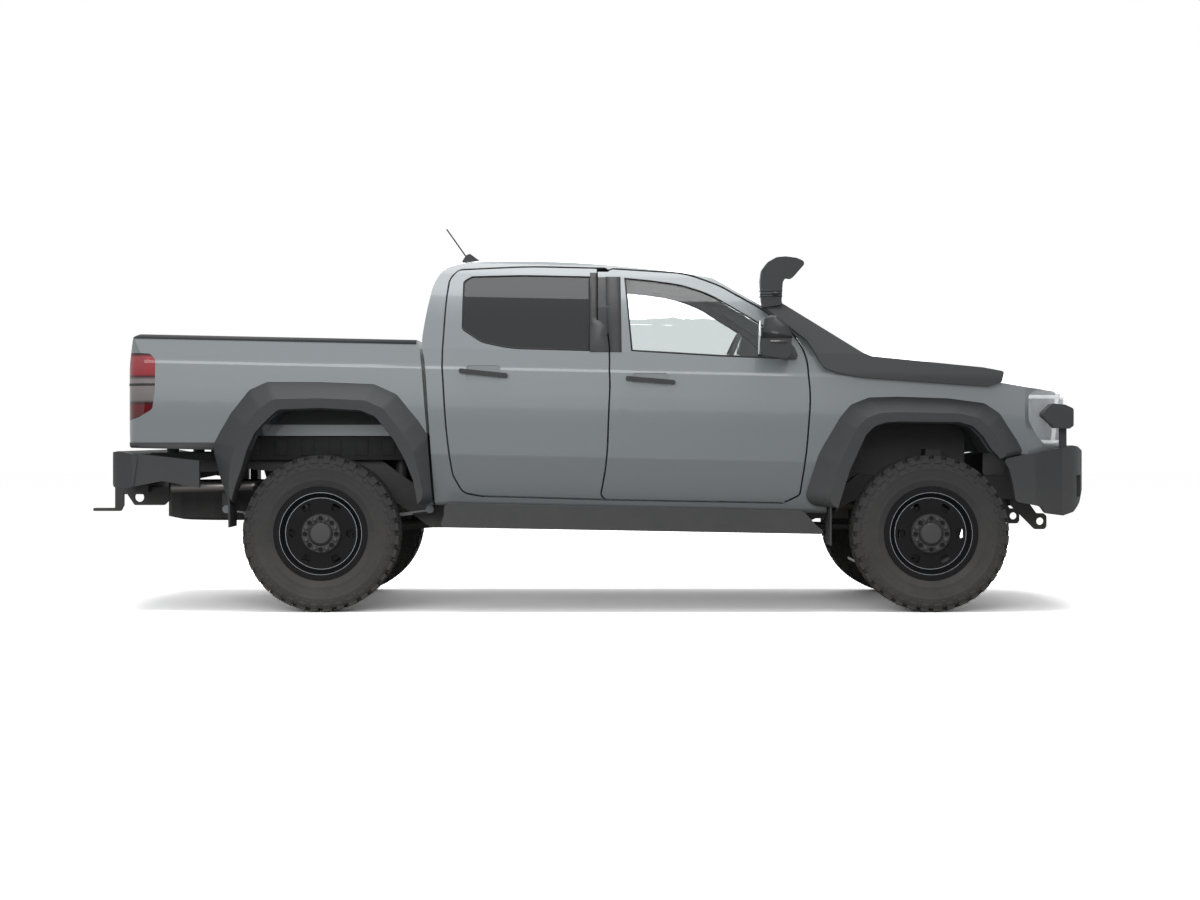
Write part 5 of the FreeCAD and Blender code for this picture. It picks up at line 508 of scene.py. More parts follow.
def turned(rows, centre, axis, steps=48):
    """Closed shape turned round an axis, from rows of distance along it and radius."""
    mesh = bmesh.new()
    axis = Vector(axis).normalized()
    side_way = axis.orthogonal().normalized()
    points = [mesh.verts.new(Vector(centre) + axis * ahead + side_way * radius)
              for ahead, radius in rows]
    edges = [mesh.edges.new(pair) for pair in zip(points, points[1:])]
    bmesh.ops.spin(mesh, geom=points + edges, cent=centre, axis=axis, angle=math.tau, steps=steps,
                   use_merge=True)
    bmesh.ops.remove_doubles(mesh, verts=mesh.verts, dist=AXIS_WELD)
    bmesh.ops.recalc_face_normals(mesh, faces=mesh.faces)
    return mesh


def joined_mesh(meshes):
    """One mesh of several."""
    first = meshes[0]
    for other in meshes[1:]:
        data = bpy.data.meshes.new("spare")
        other.to_mesh(data)
        other.free()
        first.from_mesh(data)
        bpy.data.meshes.remove(data)
    return first


def on_side(mesh, side):
    """A mesh made for the left side, on the named side."""
    if side < 0:
        bmesh.ops.transform(mesh, matrix=Matrix.Diagonal((1, -1, 1, 1)), verts=mesh.verts)
        bmesh.ops.reverse_faces(mesh, faces=mesh.faces)
    return mesh


for side_name, side in SIDES.items():
    facing = Vector((0.75, side, 0.1)).normalized()
    half = outside(side, LAMP_INNER)
    lens = settle(skin("headlamps", facing, [half], LAMP_REACH), "headlamp_lens_" + side_name,
                  lamp_lens, "truck")
    walled(lens, LENS_WALL, -1.0)
    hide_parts("headlamps")
    back = skin("headlamps", facing, [half], EVERY_WAY)
    back.normal_update()
    outer = [face for face in back.faces if face.normal.dot(facing) > LAMP_REACH]
    bmesh.ops.delete(back, geom=outer, context="FACES")
    housing = settle(back, "headlamp_housing_" + side_name, lamp_housing, "truck")
    walled(housing, HOUSING_WALL)
    bowl = joined_mesh([turned(BOWL_ROWS, BOWL_CENTRE, BOWL_AXIS),
                        turned(EYE_ROWS, BOWL_CENTRE, BOWL_AXIS, steps=32)])
    settle(on_side(bowl, side), "headlamp_bowl_" + side_name, lamp_chrome, "truck")
    for part, cuts in GUIDES.items():
        guide = skin("headlamps", facing, [half] + cuts, LAMP_REACH)
        bmesh.ops.translate(guide, vec=(-GUIDE_BACK, -side * GUIDE_IN, 0), verts=guide.verts)
        lay(guide, "headlamp_guide_%s_%s" % (part, side_name), GUIDE_WALL, light_guide_painted_glow, "truck")

# All-terrain tyres: a moulded rubber carcass with rib rings on the wall, and five rows of chunky
# lugs, the outer ones wrapping over the shoulder. Long and short lugs take turns round the tread.
tyre_rubber = finish("tyre_rubber", (0.042, 0.042, 0.044), 0.82, grain=1600.0, bump=0.4,
                     mottle=0.25, dust=0.3)
WHEEL_Y, TYRE_RADIUS = 0.855, 0.421
WALL_ROWS = [
    (0.1062, 0.2296), (0.1062, 0.2505), (0.1165, 0.2545), (0.1243, 0.2680), (0.1300, 0.2830),
    (0.1322, 0.2860), (0.1330, 0.2900), (0.1318, 0.2935), (0.1362, 0.3150), (0.1374, 0.3300),
    (0.1372, 0.3440), (0.1384, 0.3470), (0.1384, 0.3520), (0.1368, 0.3555), (0.1335, 0.3740),
    (0.1270, 0.3900), (0.1180, 0.4000), (0.0980, 0.4055), (0.0560, 0.4085), (0.0540, 0.4030),
    (0.0490, 0.4030), (0.0470, 0.4090), (0.0000, 0.4095),
]
TYRE_ROWS = WALL_ROWS + [(-y, r) for y, r in reversed(WALL_ROWS[:-1])]
TYRE_STEPS, TYRE_SMOOTH = 80, 35
PITCHES, LONG_BLOCK, SHORT_BLOCK = 36, 0.050, 0.042
# Each lug on one half of the tread: its length as a share of the long or short block and as a fixed
# part, its width, height, distance from the middle, radius, turn in pitches, yaw and lean.
SIDE_LUGS = [
    (1.00, 0.000, 0.034, 0.030, 0.1035, 0.4035, 0.00, 0.10, -0.10),
    (0.86, 0.000, 0.030, 0.016, 0.1235, 0.3885, 0.00, 0.00, -0.95),
    (0.00, 0.020, 0.022, 0.010, 0.1318, 0.3700, 0.50, 0.00, -1.25),
    (0.00, 0.046, 0.027, 0.024, 0.0690, 0.4080, 0.35, 0.42, 0.00),
    (0.00, 0.038, 0.024, 0.022, 0.0170, 0.4092, 0.12, -0.55, 0.00),
]
MIDDLE_LUG = (0.020, 0.020, 0.020)
MIDDLE_RADIUS, MIDDLE_TURN, MIDDLE_YAW = 0.4098, 0.52, 0.3
LUG_EDGE = 0.0022


def lug(mesh, size, across, radius, angle, yaw, lean):
    """One tread block at a place on the tyre's face."""
    place = (Matrix.Rotation(angle, 4, "Y") @ Matrix.Translation((0, across, radius))
             @ Matrix.Rotation(lean, 4, "X") @ Matrix.Rotation(yaw, 4, "Z")
             @ Matrix.Diagonal((*size, 1)))
    bmesh.ops.create_cube(mesh, size=1.0, matrix=place)


def round_edges(mesh, radius, segments):
    """Rounds all the edges of a mesh."""
    bmesh.ops.bevel(mesh, geom=mesh.edges[:], offset=radius, affect="EDGES", segments=segments,
                    profile=0.5, material=-1)


def tyre_mesh():
    """Tyre with its middle at the origin and its axle along Y."""
    lugs = bmesh.new()
    step = math.tau / PITCHES
    for k in range(PITCHES):
        turn = k * step
        block = LONG_BLOCK if k % 2 else SHORT_BLOCK
        for sign in (1, -1):
            shift = turn + (0.5 * step if sign < 0 else 0.0)
            for share, fixed, width, tall, across, radius, turn_share, yaw, lean in SIDE_LUGS:
                lug(lugs, (share * block + fixed, width, tall), sign * across, radius,
                    shift + turn_share * step, sign * yaw, sign * lean)
        lug(lugs, MIDDLE_LUG, 0.0, MIDDLE_RADIUS, turn + MIDDLE_TURN * step, MIDDLE_YAW, 0.0)
    round_edges(lugs, LUG_EDGE, 1)
    carcass = bmesh.new()
    points = [carcass.verts.new((0, y, r)) for y, r in TYRE_ROWS]
    edges = [carcass.edges.new(pair) for pair in zip(points, points[1:] + points[:1])]
    bmesh.ops.spin(carcass, geom=points + edges, cent=(0, 0, 0), axis=(0, 1, 0), angle=math.tau,
                   steps=TYRE_STEPS, use_merge=True)
    bmesh.ops.recalc_face_normals(carcass, faces=carcass.faces)
    return joined_mesh([carcass, lugs])


# Rims: gloss black pressed steel. A grey steel hub cover with eight nuts is bolted to each, and two
# thin bright rings on its edges are painted highlights. Each tyre is fitted to its rim here.
gloss_black_steel = finish("gloss_black_steel", (0.010, 0.010, 0.012), 0.16, grain=700.0,
                           bump=0.03, mottle=0.1, dust=0.04)
gloss_black_steel.node_tree.nodes["Principled BSDF"].inputs["Specular IOR Level"].default_value = 0.22
hub_grey = finish("hub_grey_steel", (0.062, 0.063, 0.065), 0.5, metallic=0.3, grain=500.0,
                  bump=0.12, mottle=0.15, dust=0.1)
# Painted highlight: bright metal rings on the rim's edges stand in for the gloss rim's reflections.
rim_highlight_paint = finish("bright_rim_edge", (0.42, 0.43, 0.45), 0.22, metallic=1.0, grain=500.0,
                     bump=0.05, mottle=0.2)
AXLE_WAY = (0, 1, 0)
HUB_ROWS = [(0.081, 0.0), (0.081, 0.106), (0.104, 0.106), (0.110, 0.100), (0.110, 0.066),
            (0.122, 0.060), (0.129, 0.050), (0.130, 0.0)]
NUT_COUNT, NUT_RING, NUT_SIDES = 8, 0.084, 6
NUT_ROWS = [(0.109, 0.0), (0.109, 0.0135), (0.125, 0.0135), (0.129, 0.009), (0.130, 0.0)]
HIGHLIGHT_RINGS = [(0.0800, 0.0848, 0.1900, 0.1945), (0.1130, 0.1172, 0.2190, 0.2215)]
FITTING_SMOOTH = 30
for axle, axle_x in (("front", FRONT_AXLE), ("rear", REAR_AXLE)):
    for side_name, side in SIDES.items():
        wheel = "%s_%s" % (axle, side_name)
        centre = (axle_x, side * WHEEL_Y, TYRE_RADIUS)
        mesh = tyre_mesh()
        bmesh.ops.transform(mesh, verts=mesh.verts, matrix=Matrix.Translation(centre))
        tyre = settle(mesh, "all_terrain_tyre_" + wheel, tyre_rubber, "wheel_" + wheel,
                      TYRE_SMOOTH)
        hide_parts("tyre_" + wheel)
        dress(gloss_black_steel, "rim_" + wheel)
        hub = [turned(HUB_ROWS, (0, 0, 0), AXLE_WAY, steps=40)]
        for k in range(NUT_COUNT):
            turn = (k + 0.5) * math.tau / NUT_COUNT
            stud = (NUT_RING * math.cos(turn), 0, NUT_RING * math.sin(turn))
            hub.append(turned(NUT_ROWS, stud, AXLE_WAY, steps=NUT_SIDES))
        # Two thin rings of painted highlight, on the disc's edge and on the lip.
        rings = []
        for low, high, inner, outer in HIGHLIGHT_RINGS:
            ring_rows = [(low, inner), (high, inner), (high, outer), (low, outer), (low, inner)]
            rings.append(turned(ring_rows, (0, 0, 0), AXLE_WAY, steps=72))
        for label, parts, steel in (("hub_cover", hub, hub_grey), ("rim_edges", rings, rim_highlight_paint)):
            fitting = on_side(joined_mesh(parts), side)
            bmesh.ops.translate(fitting, vec=centre, verts=fitting.verts)
            settle(fitting, "%s_%s" % (label, wheel), steel, "wheel_" + wheel,
                   FITTING_SMOOTH)
dress(tyre_rubber, "spare_wheel")

# Centre pillar covers: black moulded panels clipped to the cab's post between the two doors'
# window frames and flush with them. Above each, the post's head is painted steel.
PILLAR_SIDE = [(0.8536, 1.500), (0.7905, 1.645), (0.7290, 1.735), (0.6720, 1.811)]
PILLAR_HEAD = [(0.6720, 1.813), (0.6560, 1.830), (0.6380, 1.846)]
PILLAR_REAR, PILLAR_FRONT, PILLAR_DEPTH = 0.0885, 0.1515, 0.045
PILLAR_SET_IN, PILLAR_TAPER, PILLAR_EDGE = 0.002, 0.0015, 0.0012


def points_of(geometry):
    """The vertices among an operator's results."""
    return [part for part in geometry if isinstance(part, bmesh.types.BMVert)]


def pillar_panel(profile):
    """Panel with its returns, between the two doors' frames, on the left side."""
    mesh = bmesh.new()
    rows = [mesh.verts.new((PILLAR_REAR, y - PILLAR_SET_IN, z)) for y, z in profile]
    edges = [mesh.edges.new(pair) for pair in zip(rows, rows[1:])]
    strip = bmesh.ops.extrude_edge_only(mesh, edges=edges)["geom"]
    bmesh.ops.translate(mesh, vec=(PILLAR_FRONT - PILLAR_REAR, -PILLAR_TAPER, 0),
                        verts=points_of(strip))
    box = bmesh.ops.extrude_face_region(mesh, geom=mesh.faces[:])["geom"]
    bmesh.ops.translate(mesh, vec=(0, -PILLAR_DEPTH, 0), verts=points_of(box))
    bmesh.ops.recalc_face_normals(mesh, faces=mesh.faces)
    round_edges(mesh, PILLAR_EDGE, 2)
    return mesh


for side_name, side in SIDES.items():
    settle(on_side(pillar_panel(PILLAR_SIDE), side), "centre_pillar_cover_" + side_name,
           pillar_black, "truck")
    settle(on_side(pillar_panel(PILLAR_HEAD), side), "centre_pillar_head_" + side_name, body_paint,
           "truck")

# Inner bed sides: panels that hang from the bed floor between the frame rail and the wheel box,
# ribbed against drumming, with a return flange at the foot and a deeper front panel. Their
# near-black is painted shade for the dark gap above each rear tyre.
# The same near-black is the bed liner's own colour, and painted shade on the inner bed sides.
liner_black_and_painted_shade = finish("liner_black_and_painted_shade", (0.022, 0.023, 0.025), 0.7, grain=700.0, bump=0.2, mottle=0.2,
                     dust=0.35)
SIDE_PANEL = ((-2.050, 0.545, 0.815), (-0.760, 0.549, 0.950))
SIDE_FLANGE = ((-2.050, 0.530, 0.812), (-0.760, 0.549, 0.817))
FRONT_PANEL = ((-0.920, 0.545, 0.610), (-0.655, 0.549, 0.818))
RIB_COUNT, RIB_START, RIB_PITCH, RIB_LENGTH = 9, -2.000, 0.150, 0.070
RIB_INNER, RIB_OUTER, RIB_FOOT, RIB_TOP = 0.547, 0.555, 0.835, 0.930
SHEET_EDGE, RIB_EDGE = 0.0015, 0.003


def rounded_block(low, high, radius, segments=3):
    """Block between two corners with all its edges rounded."""
    mesh = bmesh.new()
    low, high = Vector(low), Vector(high)
    place = Matrix.Translation((low + high) / 2) @ Matrix.Diagonal((*(high - low), 1))
    bmesh.ops.create_cube(mesh, size=1.0, matrix=place)
    round_edges(mesh, radius, segments)
    return mesh


for side_name, side in SIDES.items():
    panels = [rounded_block(*SIDE_PANEL, SHEET_EDGE, segments=2),
              rounded_block(*SIDE_FLANGE, SHEET_EDGE, segments=2)]
    for rib in range(RIB_COUNT):
        rib_x = RIB_START + rib * RIB_PITCH
        panels.append(rounded_block((rib_x, RIB_INNER, RIB_FOOT),
                                    (rib_x + RIB_LENGTH, RIB_OUTER, RIB_TOP), RIB_EDGE, segments=2))
    panels.append(rounded_block(*FRONT_PANEL, SHEET_EDGE, segments=2))
    settle(on_side(joined_mesh(panels), side), "bed_side_painted_shade_" + side_name, liner_black_and_painted_shade, "truck")

# Tail lamps: each is one moulded lens in three bands, dark red at the foot, pale in the middle and
# red at the top, with dark seams between them. A thin black line runs round it above the middle.
lamp_bands = glazing("tail_lamp_bands", (0.42, 0.02, 0.03), 0.08, 0.25)
LAMP_FOOT, LAMP_TOP = 1.006, 1.395
BANDS = [(0.0, (0.10, 0.006, 0.010)), (0.26, (0.22, 0.008, 0.014)), (0.30, (0.05, 0.006, 0.008)),
         (0.34, (0.30, 0.27, 0.27)), (0.62, (0.42, 0.36, 0.36)), (0.66, (0.05, 0.006, 0.008)),
         (0.70, (0.55, 0.03, 0.05)), (0.93, (0.62, 0.10, 0.12)), (0.97, (0.06, 0.01, 0.01))]
LINE_FOOT, LINE_TOP, LINE_WALL, LINE_REACH = 1.215, 1.228, 0.0012, 0.3
tree = lamp_bands.node_tree
place = tree.nodes.new("ShaderNodeTexCoord")
split = tree.nodes.new("ShaderNodeSeparateXYZ")
height = tree.nodes.new("ShaderNodeMapRange")
height.inputs["From Min"].default_value = LAMP_FOOT
height.inputs["From Max"].default_value = LAMP_TOP
ramp_node = tree.nodes.new("ShaderNodeValToRGB")
ramp = ramp_node.color_ramp
ramp.interpolation = "LINEAR"
for element, (position, colour) in zip(ramp.elements, (BANDS[0], BANDS[-1])):
    element.position = position
    element.color = (*colour, 1)
for position, colour in BANDS[1:-1]:
    ramp.elements.new(position).color = (*colour, 1)
connect(tree, place, "Object", split, "Vector")
connect(tree, split, "Z", height, "Value")
connect(tree, height, "Result", ramp_node, "Fac")
connect(tree, ramp_node, "Color", tree.nodes["Principled BSDF"], "Base Color")
dress(lamp_bands, "tail_lamps")
for side_name, side in SIDES.items():
    line = skin("tail_lamps", (-0.5, side, 0),
                [above(LINE_FOOT), below(LINE_TOP), outside(side, LAMP_INNER)], LINE_REACH)
    lay(line, "tail_lamp_line_" + side_name, LINE_WALL, pillar_black, "truck")

# Door mirrors: a moulded head on a short arm, screwed to the door. A satin cap clips over its upper
# half, a convex silvered glass faces backwards, and a smoked indicator sits in the outer face.
satin_black = finish("satin_black_plastic", (0.020, 0.021, 0.023), 0.34, coat=0.2, grain=1500.0,
                     bump=0.06, mottle=0.12, dust=0.05)
mirror_silver = finish("mirror_silver", (0.55, 0.57, 0.58), 0.04, metallic=1.0, grain=900.0,
                       bump=0.0, mottle=0.02)
smoked_indicator = finish("smoked_indicator", (0.035, 0.028, 0.024), 0.12, coat=0.6, grain=400.0,
                          bump=0.3, mottle=0.2)
CAP_FOOT, CAP_INNER, MIRROR_CAP_WALL = 1.462, 0.995, 0.0016
MIRROR_GLASS = ((0.9445, 1.022, 1.378), (0.9505, 1.137, 1.556))
INDICATOR = ((1.000, 1.1505, 1.434), (1.090, 1.1555, 1.452))
GLASS_EDGE, INDICATOR_EDGE = 0.0025, 0.002
for side_name, side in SIDES.items():
    door = "front_door_" + side_name
    cap = skin("front_fittings_" + side_name, (0.4, side, 1.0),
               [above(CAP_FOOT), outside(side, CAP_INNER)], 0.0)
    lay(cap, "mirror_cap_" + side_name, MIRROR_CAP_WALL, satin_black, door)
    settle(on_side(rounded_block(*MIRROR_GLASS, GLASS_EDGE), side), "mirror_glass_" + side_name,
           mirror_silver, door)
    settle(on_side(rounded_block(*INDICATOR, INDICATOR_EDGE), side),
           "mirror_indicator_" + side_name, smoked_indicator, door)

# Snorkel collar: the ram head is a separate moulding that turns on the neck. Two moulded lips and a
# band clamp between them, drawn up by a cross screw, hold it there.
NECK = Vector((1.0265, -0.7905, 1.7165))
LIP_X, LIP_Y, LIP_EDGE = 0.0605, 0.0555, 0.003
LIP_HEIGHTS = ((1.697, 1.705), (1.727, 1.735))
BAND_X, BAND_Y, BAND_FOOT, BAND_TOP, BAND_EDGE = 0.0585, 0.0535, 1.709, 1.723, 0.004
SCREW_LUG = ((NECK.x + 0.010, NECK.y - 0.066, 1.707), (NECK.x + 0.034, NECK.y - 0.052, 1.725))
SCREW_LUG_EDGE = 0.002
SCREW_PLACE = (NECK.x + 0.022, NECK.y - 0.064, 1.716)
SCREW_ROWS = [(-0.018, 0.0), (-0.018, 0.005), (0.018, 0.005), (0.018, 0.0)]


def neck_plate(half_x, half_y, foot, top, radius):
    """Rounded plate round the snorkel's neck, between two heights."""
    return rounded_block((NECK.x - half_x, NECK.y - half_y, foot),
                         (NECK.x + half_x, NECK.y + half_y, top), radius)


collar = joined_mesh([neck_plate(LIP_X, LIP_Y, foot, top, LIP_EDGE)
                      for foot, top in LIP_HEIGHTS])
settle(collar, "snorkel_collar", satin_black, "truck")
clamp = joined_mesh([neck_plate(BAND_X, BAND_Y, BAND_FOOT, BAND_TOP, BAND_EDGE),
                     rounded_block(*SCREW_LUG, SCREW_LUG_EDGE),
                     turned(SCREW_ROWS, SCREW_PLACE, (1, 0, 0), steps=10)])
settle(clamp, "snorkel_clamp", satin_black, "truck")

# Fog lamps in the bumper and driving lamps on its ends: domed clear glasses. A black moulded bezel
# clips over each fog lamp, and each driving lamp's glass sits in its own body.
lamp_glass = glazing("lamp_glass", (0.80, 0.82, 0.84), 0.05, 0.55)
FOG_PLACE, DRIVING_PLACE = (2.676, 0.716, 0.671), (2.632, 0.945, 1.045)
FOG_ROWS = [(-0.010, 0.0), (-0.010, 0.030), (0.004, 0.030), (0.008, 0.020), (0.010, 0.0)]
BEZEL_ROWS = [(-0.012, 0.029), (-0.012, 0.038), (0.008, 0.038), (0.011, 0.034), (0.008, 0.029),
              (-0.012, 0.029)]
DRIVING_ROWS = [(-0.004, 0.0), (-0.004, 0.040), (0.003, 0.039), (0.006, 0.026), (0.007, 0.0)]
for side_name, side in SIDES.items():
    for label, rows, lamp_place, material, slot in (
            ("fog_lamp_glass_", FOG_ROWS, FOG_PLACE, lamp_glass, "lamp_lens"),
            ("fog_lamp_bezel_", BEZEL_ROWS, FOG_PLACE, satin_black, "black_plastic"),
            ("driving_lamp_glass_", DRIVING_ROWS, DRIVING_PLACE, lamp_glass, "lamp_lens")):
        settle(on_side(turned(rows, lamp_place, (1, 0, 0), steps=32), side), label + side_name,
               material, "truck")

# Rear number plate: a blank plate of pressed aluminium, painted white. Two screws hold it to the
# rear face of the bumper.
plate_white = finish("plate_white", (0.62, 0.62, 0.60), 0.4, coat=0.3, grain=700.0, bump=0.05,
                     mottle=0.04, dust=0.2)
PLATE = ((-2.583, -0.260, 0.700), (-2.574, 0.260, 0.808))
PLATE_EDGE, PLATE_SCREW_Y, PLATE_SCREW_Z = 0.0012, 0.170, 0.754
PLATE_SCREW_ROWS = [(-0.002, 0.0), (-0.002, 0.006), (0.001, 0.005), (0.002, 0.0)]
plate_parts = [rounded_block(*PLATE, PLATE_EDGE, segments=2)]
for screw_y in (-PLATE_SCREW_Y, PLATE_SCREW_Y):
    screw_place = (PLATE[0][0], screw_y, PLATE_SCREW_Z)
    plate_parts.append(turned(PLATE_SCREW_ROWS, screw_place, (-1, 0, 0), steps=12))
settle(joined_mesh(plate_parts), "rear_plate", plate_white, "truck")

# Load bed liner: a black plastic moulding that drops in over the bed's floor and the tops of the
# wheel boxes, and stays there by its own fit.
BED_WALL, BED_HALF, BED_FRONT, BED_TOP, BED_FOOT = 0.004, 0.745, -0.93, 1.30, 0.90
BED_REACH = 0.5
bed_top = skin("load_bed", (0, 0, 1), [below(BED_TOP), above(BED_FOOT), inside(1, BED_HALF),
                                       inside(-1, BED_HALF), behind(BED_FRONT)], BED_REACH)
lay(bed_top, "bed_liner", BED_WALL, liner_black_and_painted_shade, "truck")

# Seats: foam under woven charcoal cloth on a steel base. Each cushion, backrest and headrest is a
# padded form, swollen by its foam, with sewn channels across the middle panel.
weave_group, start, end = effect_group("cloth_weave", [("Scale", 2600.0)], ["Height"])
place = weave_group.nodes.new("ShaderNodeTexCoord")
split = weave_group.nodes.new("ShaderNodeSeparateXYZ")
connect(weave_group, place, "Object", split, "Vector")
threads = []
for direction in ("X", "Y", "Z"):
    scaled = sum_node(weave_group, "MULTIPLY")
    connect(weave_group, split, direction, scaled, 0)
    connect(weave_group, start, "Scale", scaled, 1)
    wave = sum_node(weave_group, "SINE")
    connect(weave_group, scaled, 0, wave, 0)
    threads.append(wave)
over = sum_node(weave_group, "MULTIPLY")
connect(weave_group, threads[0], 0, over, 0)
connect(weave_group, threads[1], 0, over, 1)
across = sum_node(weave_group, "MULTIPLY_ADD")
connect(weave_group, threads[1], 0, across, 0)
connect(weave_group, threads[2], 0, across, 1)
connect(weave_group, over, 0, across, 2)
connect(weave_group, across, 0, end, "Height")
seat_cloth = finish("seat_cloth", (0.045, 0.046, 0.05), 0.92, grain=420.0, bump=0.08, mottle=0.15,
                    sheen=0.1)
tree = seat_cloth.node_tree
weave = tree.nodes.new("ShaderNodeGroup")
weave.node_tree = weave_group
threads_up = tree.nodes.new("ShaderNodeBump")
threads_up.inputs["Strength"].default_value = 0.12
threads_up.inputs["Distance"].default_value = 0.0006
connect(tree, weave, "Height", threads_up, "Height")
connect(tree, tree.nodes["Bump"], "Normal", threads_up, "Normal")
connect(tree, threads_up, "Normal", tree.nodes["Principled BSDF"], "Normal")
CLOTH_FRAMES, FOAM_PRESSURE = 20, 4.0
SEAM_DEPTH, LONG_SEAM, CROSS_SEAM, HEAD_SEAM = 0.007, 0.006, 0.005, 0.004


def seat_form(rows, low_y, high_y, shrink, radius):
    """Soft-edged form across the cab from its side outline, drawn in by what the foam swells."""
    mesh = bmesh.new()
    points = [mesh.verts.new((x, low_y + shrink, z)) for x, z in rows]
    base = mesh.faces.new(points)
    bmesh.ops.recalc_face_normals(mesh, faces=[base])
    grown = bmesh.ops.extrude_face_region(mesh, geom=[base])["geom"]
    bmesh.ops.translate(mesh, vec=(0, high_y - low_y - 2 * shrink, 0), verts=points_of(grown))
    bmesh.ops.recalc_face_normals(mesh, faces=mesh.faces)
    round_edges(mesh, radius, 3)
    return mesh


def applied(piece):
    """Bakes a piece's modifiers into its mesh."""
    graph = bpy.context.evaluated_depsgraph_get()
    data = bpy.data.meshes.new_from_object(piece.evaluated_get(graph))
    piece.modifiers.clear()
    old, piece.data = piece.data, data
    bpy.data.meshes.remove(old)


def stuffed(mesh, name, body, channels, facing, cap=0.024, voxel=0.008):
    """Padded piece: remeshed, swollen as cloth round its foam, then sewn down in channels."""
    piece = settle(mesh, name, seat_cloth, body)
    voxels = piece.modifiers.new("voxels", "REMESH")
    voxels.mode = "VOXEL"
    voxels.voxel_size = voxel
    applied(piece)
    before = [vert.co.copy() for vert in piece.data.vertices]
    cloth = piece.modifiers.new("foam", "CLOTH")
    cloth.settings.use_pressure = True
    cloth.settings.uniform_pressure_force = FOAM_PRESSURE
    cloth.settings.effector_weights.gravity = 0.0
    cloth.point_cache.frame_start = 1
    cloth.point_cache.frame_end = CLOTH_FRAMES
    for step in range(1, CLOTH_FRAMES + 1):
        world_scene.frame_set(step)
    applied(piece)
    world_scene.frame_set(1)
    facing = Vector(facing).normalized()
    for vert, start_place in zip(piece.data.vertices, before):
        move = vert.co - start_place
        if move.length > cap:
            vert.co = start_place + move * (cap / move.length)
    piece.data.update()
    for vert in piece.data.vertices:
        shown = max(0.0, vert.normal.dot(facing))
        depth = 0.0
        for way, place_along, width in channels:
            away = (vert.co.dot(Vector(way)) - place_along) / width
            depth += math.exp(-away * away)
        vert.co -= facing * min(depth, 1.0) * shown * SEAM_DEPTH
    piece.data.polygons.foreach_set("use_smooth", [True] * len(piece.data.polygons))
    rounding = piece.modifiers.new("rounding", "SUBSURF")
    rounding.levels = rounding.render_levels = 1
    return piece


def other_side(piece, name):
    """The same piece on the other side of the cab."""
    twin = piece.copy()
    twin.data = piece.data.copy()
    twin.name = name
    mesh = bmesh.new()
    mesh.from_mesh(twin.data)
    on_side(mesh, -1)
    mesh.to_mesh(twin.data)
    mesh.free()
    world_scene.collection.objects.link(twin)
    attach(twin, "truck")
    return twin


def seam_along(y):
    """Channel that runs along the seat at a distance from the truck's middle."""
    return (0, 1, 0), y, LONG_SEAM


def seam_at(x):
    """Channel that runs across a cushion."""
    return (1, 0, 0), x, CROSS_SEAM


def seam_up(z, width=CROSS_SEAM):
    """Channel that runs across a backrest or headrest."""
    return (0, 0, 1), z, width


# Front seats: two of a kind, each with its cushion, backrest and headrest, on a plinth bolted to
# the floor. Two thin posts carry the headrest.
SEAT_Y, SEAT_HALF, HEAD_HALF = 0.370, 0.250, 0.125
CUSHION = [(0.222, 0.876), (0.222, 0.960), (0.625, 0.975), (0.672, 0.955), (0.668, 0.876)]
BACK = [(0.226, 0.945), (0.042, 1.515), (0.066, 1.585), (0.118, 1.585), (0.318, 0.985),
        (0.304, 0.945)]
HEAD = [(0.042, 1.626), (0.014, 1.728), (0.062, 1.748), (0.108, 1.626)]
SEAT_SHRINK, SEAT_EDGE, HEAD_SHRINK, HEAD_EDGE, HEAD_CAP = 0.018, 0.024, 0.010, 0.018, 0.014
CUSHION_LONG, CUSHION_CROSS = (-0.150, 0.150), (0.330, 0.420, 0.510)
BACK_LONG, BACK_CROSS, HEAD_CROSS = (-0.145, 0.145), (1.120, 1.230, 1.340), 1.660
CUSHION_WAY, BACK_WAY = (0, 0, 1), (1, 0, 0.3)
PLINTH_REAR, PLINTH_FRONT, PLINTH_HALF, PLINTH_TOP = 0.245, 0.625, 0.190, 0.872
PLINTH_EDGE, FLOOR_GAP = 0.006, 0.001
HEAD_POST_ROWS = [(0.0, 0.0), (0.0, 0.006), (0.075, 0.006), (0.075, 0.0)]
HEAD_POST_X, HEAD_POST_Z, HEAD_POST_HALF = 0.078, 1.570, 0.055
HEAD_POST_WAY = (-0.12, 0, 1)
cushion = stuffed(seat_form(CUSHION, SEAT_Y - SEAT_HALF, SEAT_Y + SEAT_HALF, SEAT_SHRINK, SEAT_EDGE),
                  "front_cushion_left", "truck",
                  [seam_along(SEAT_Y + offset) for offset in CUSHION_LONG]
                  + [seam_at(line_x) for line_x in CUSHION_CROSS], CUSHION_WAY)
back = stuffed(seat_form(BACK, SEAT_Y - SEAT_HALF, SEAT_Y + SEAT_HALF, SEAT_SHRINK, SEAT_EDGE),
               "front_backrest_left", "truck",
               [seam_along(SEAT_Y + offset) for offset in BACK_LONG]
               + [seam_up(line_z) for line_z in BACK_CROSS], BACK_WAY)
head = stuffed(seat_form(HEAD, SEAT_Y - HEAD_HALF, SEAT_Y + HEAD_HALF, HEAD_SHRINK, HEAD_EDGE),
               "front_headrest_left", "truck", [seam_up(HEAD_CROSS, HEAD_SEAM)], BACK_WAY,
               HEAD_CAP)
for piece in (cushion, back, head):
    twin = other_side(piece, piece.name.replace("_left", "_right"))
    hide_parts("front_seats")
    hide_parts("front_seats")
seat_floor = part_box("front_seats")[0][2]
frames = []
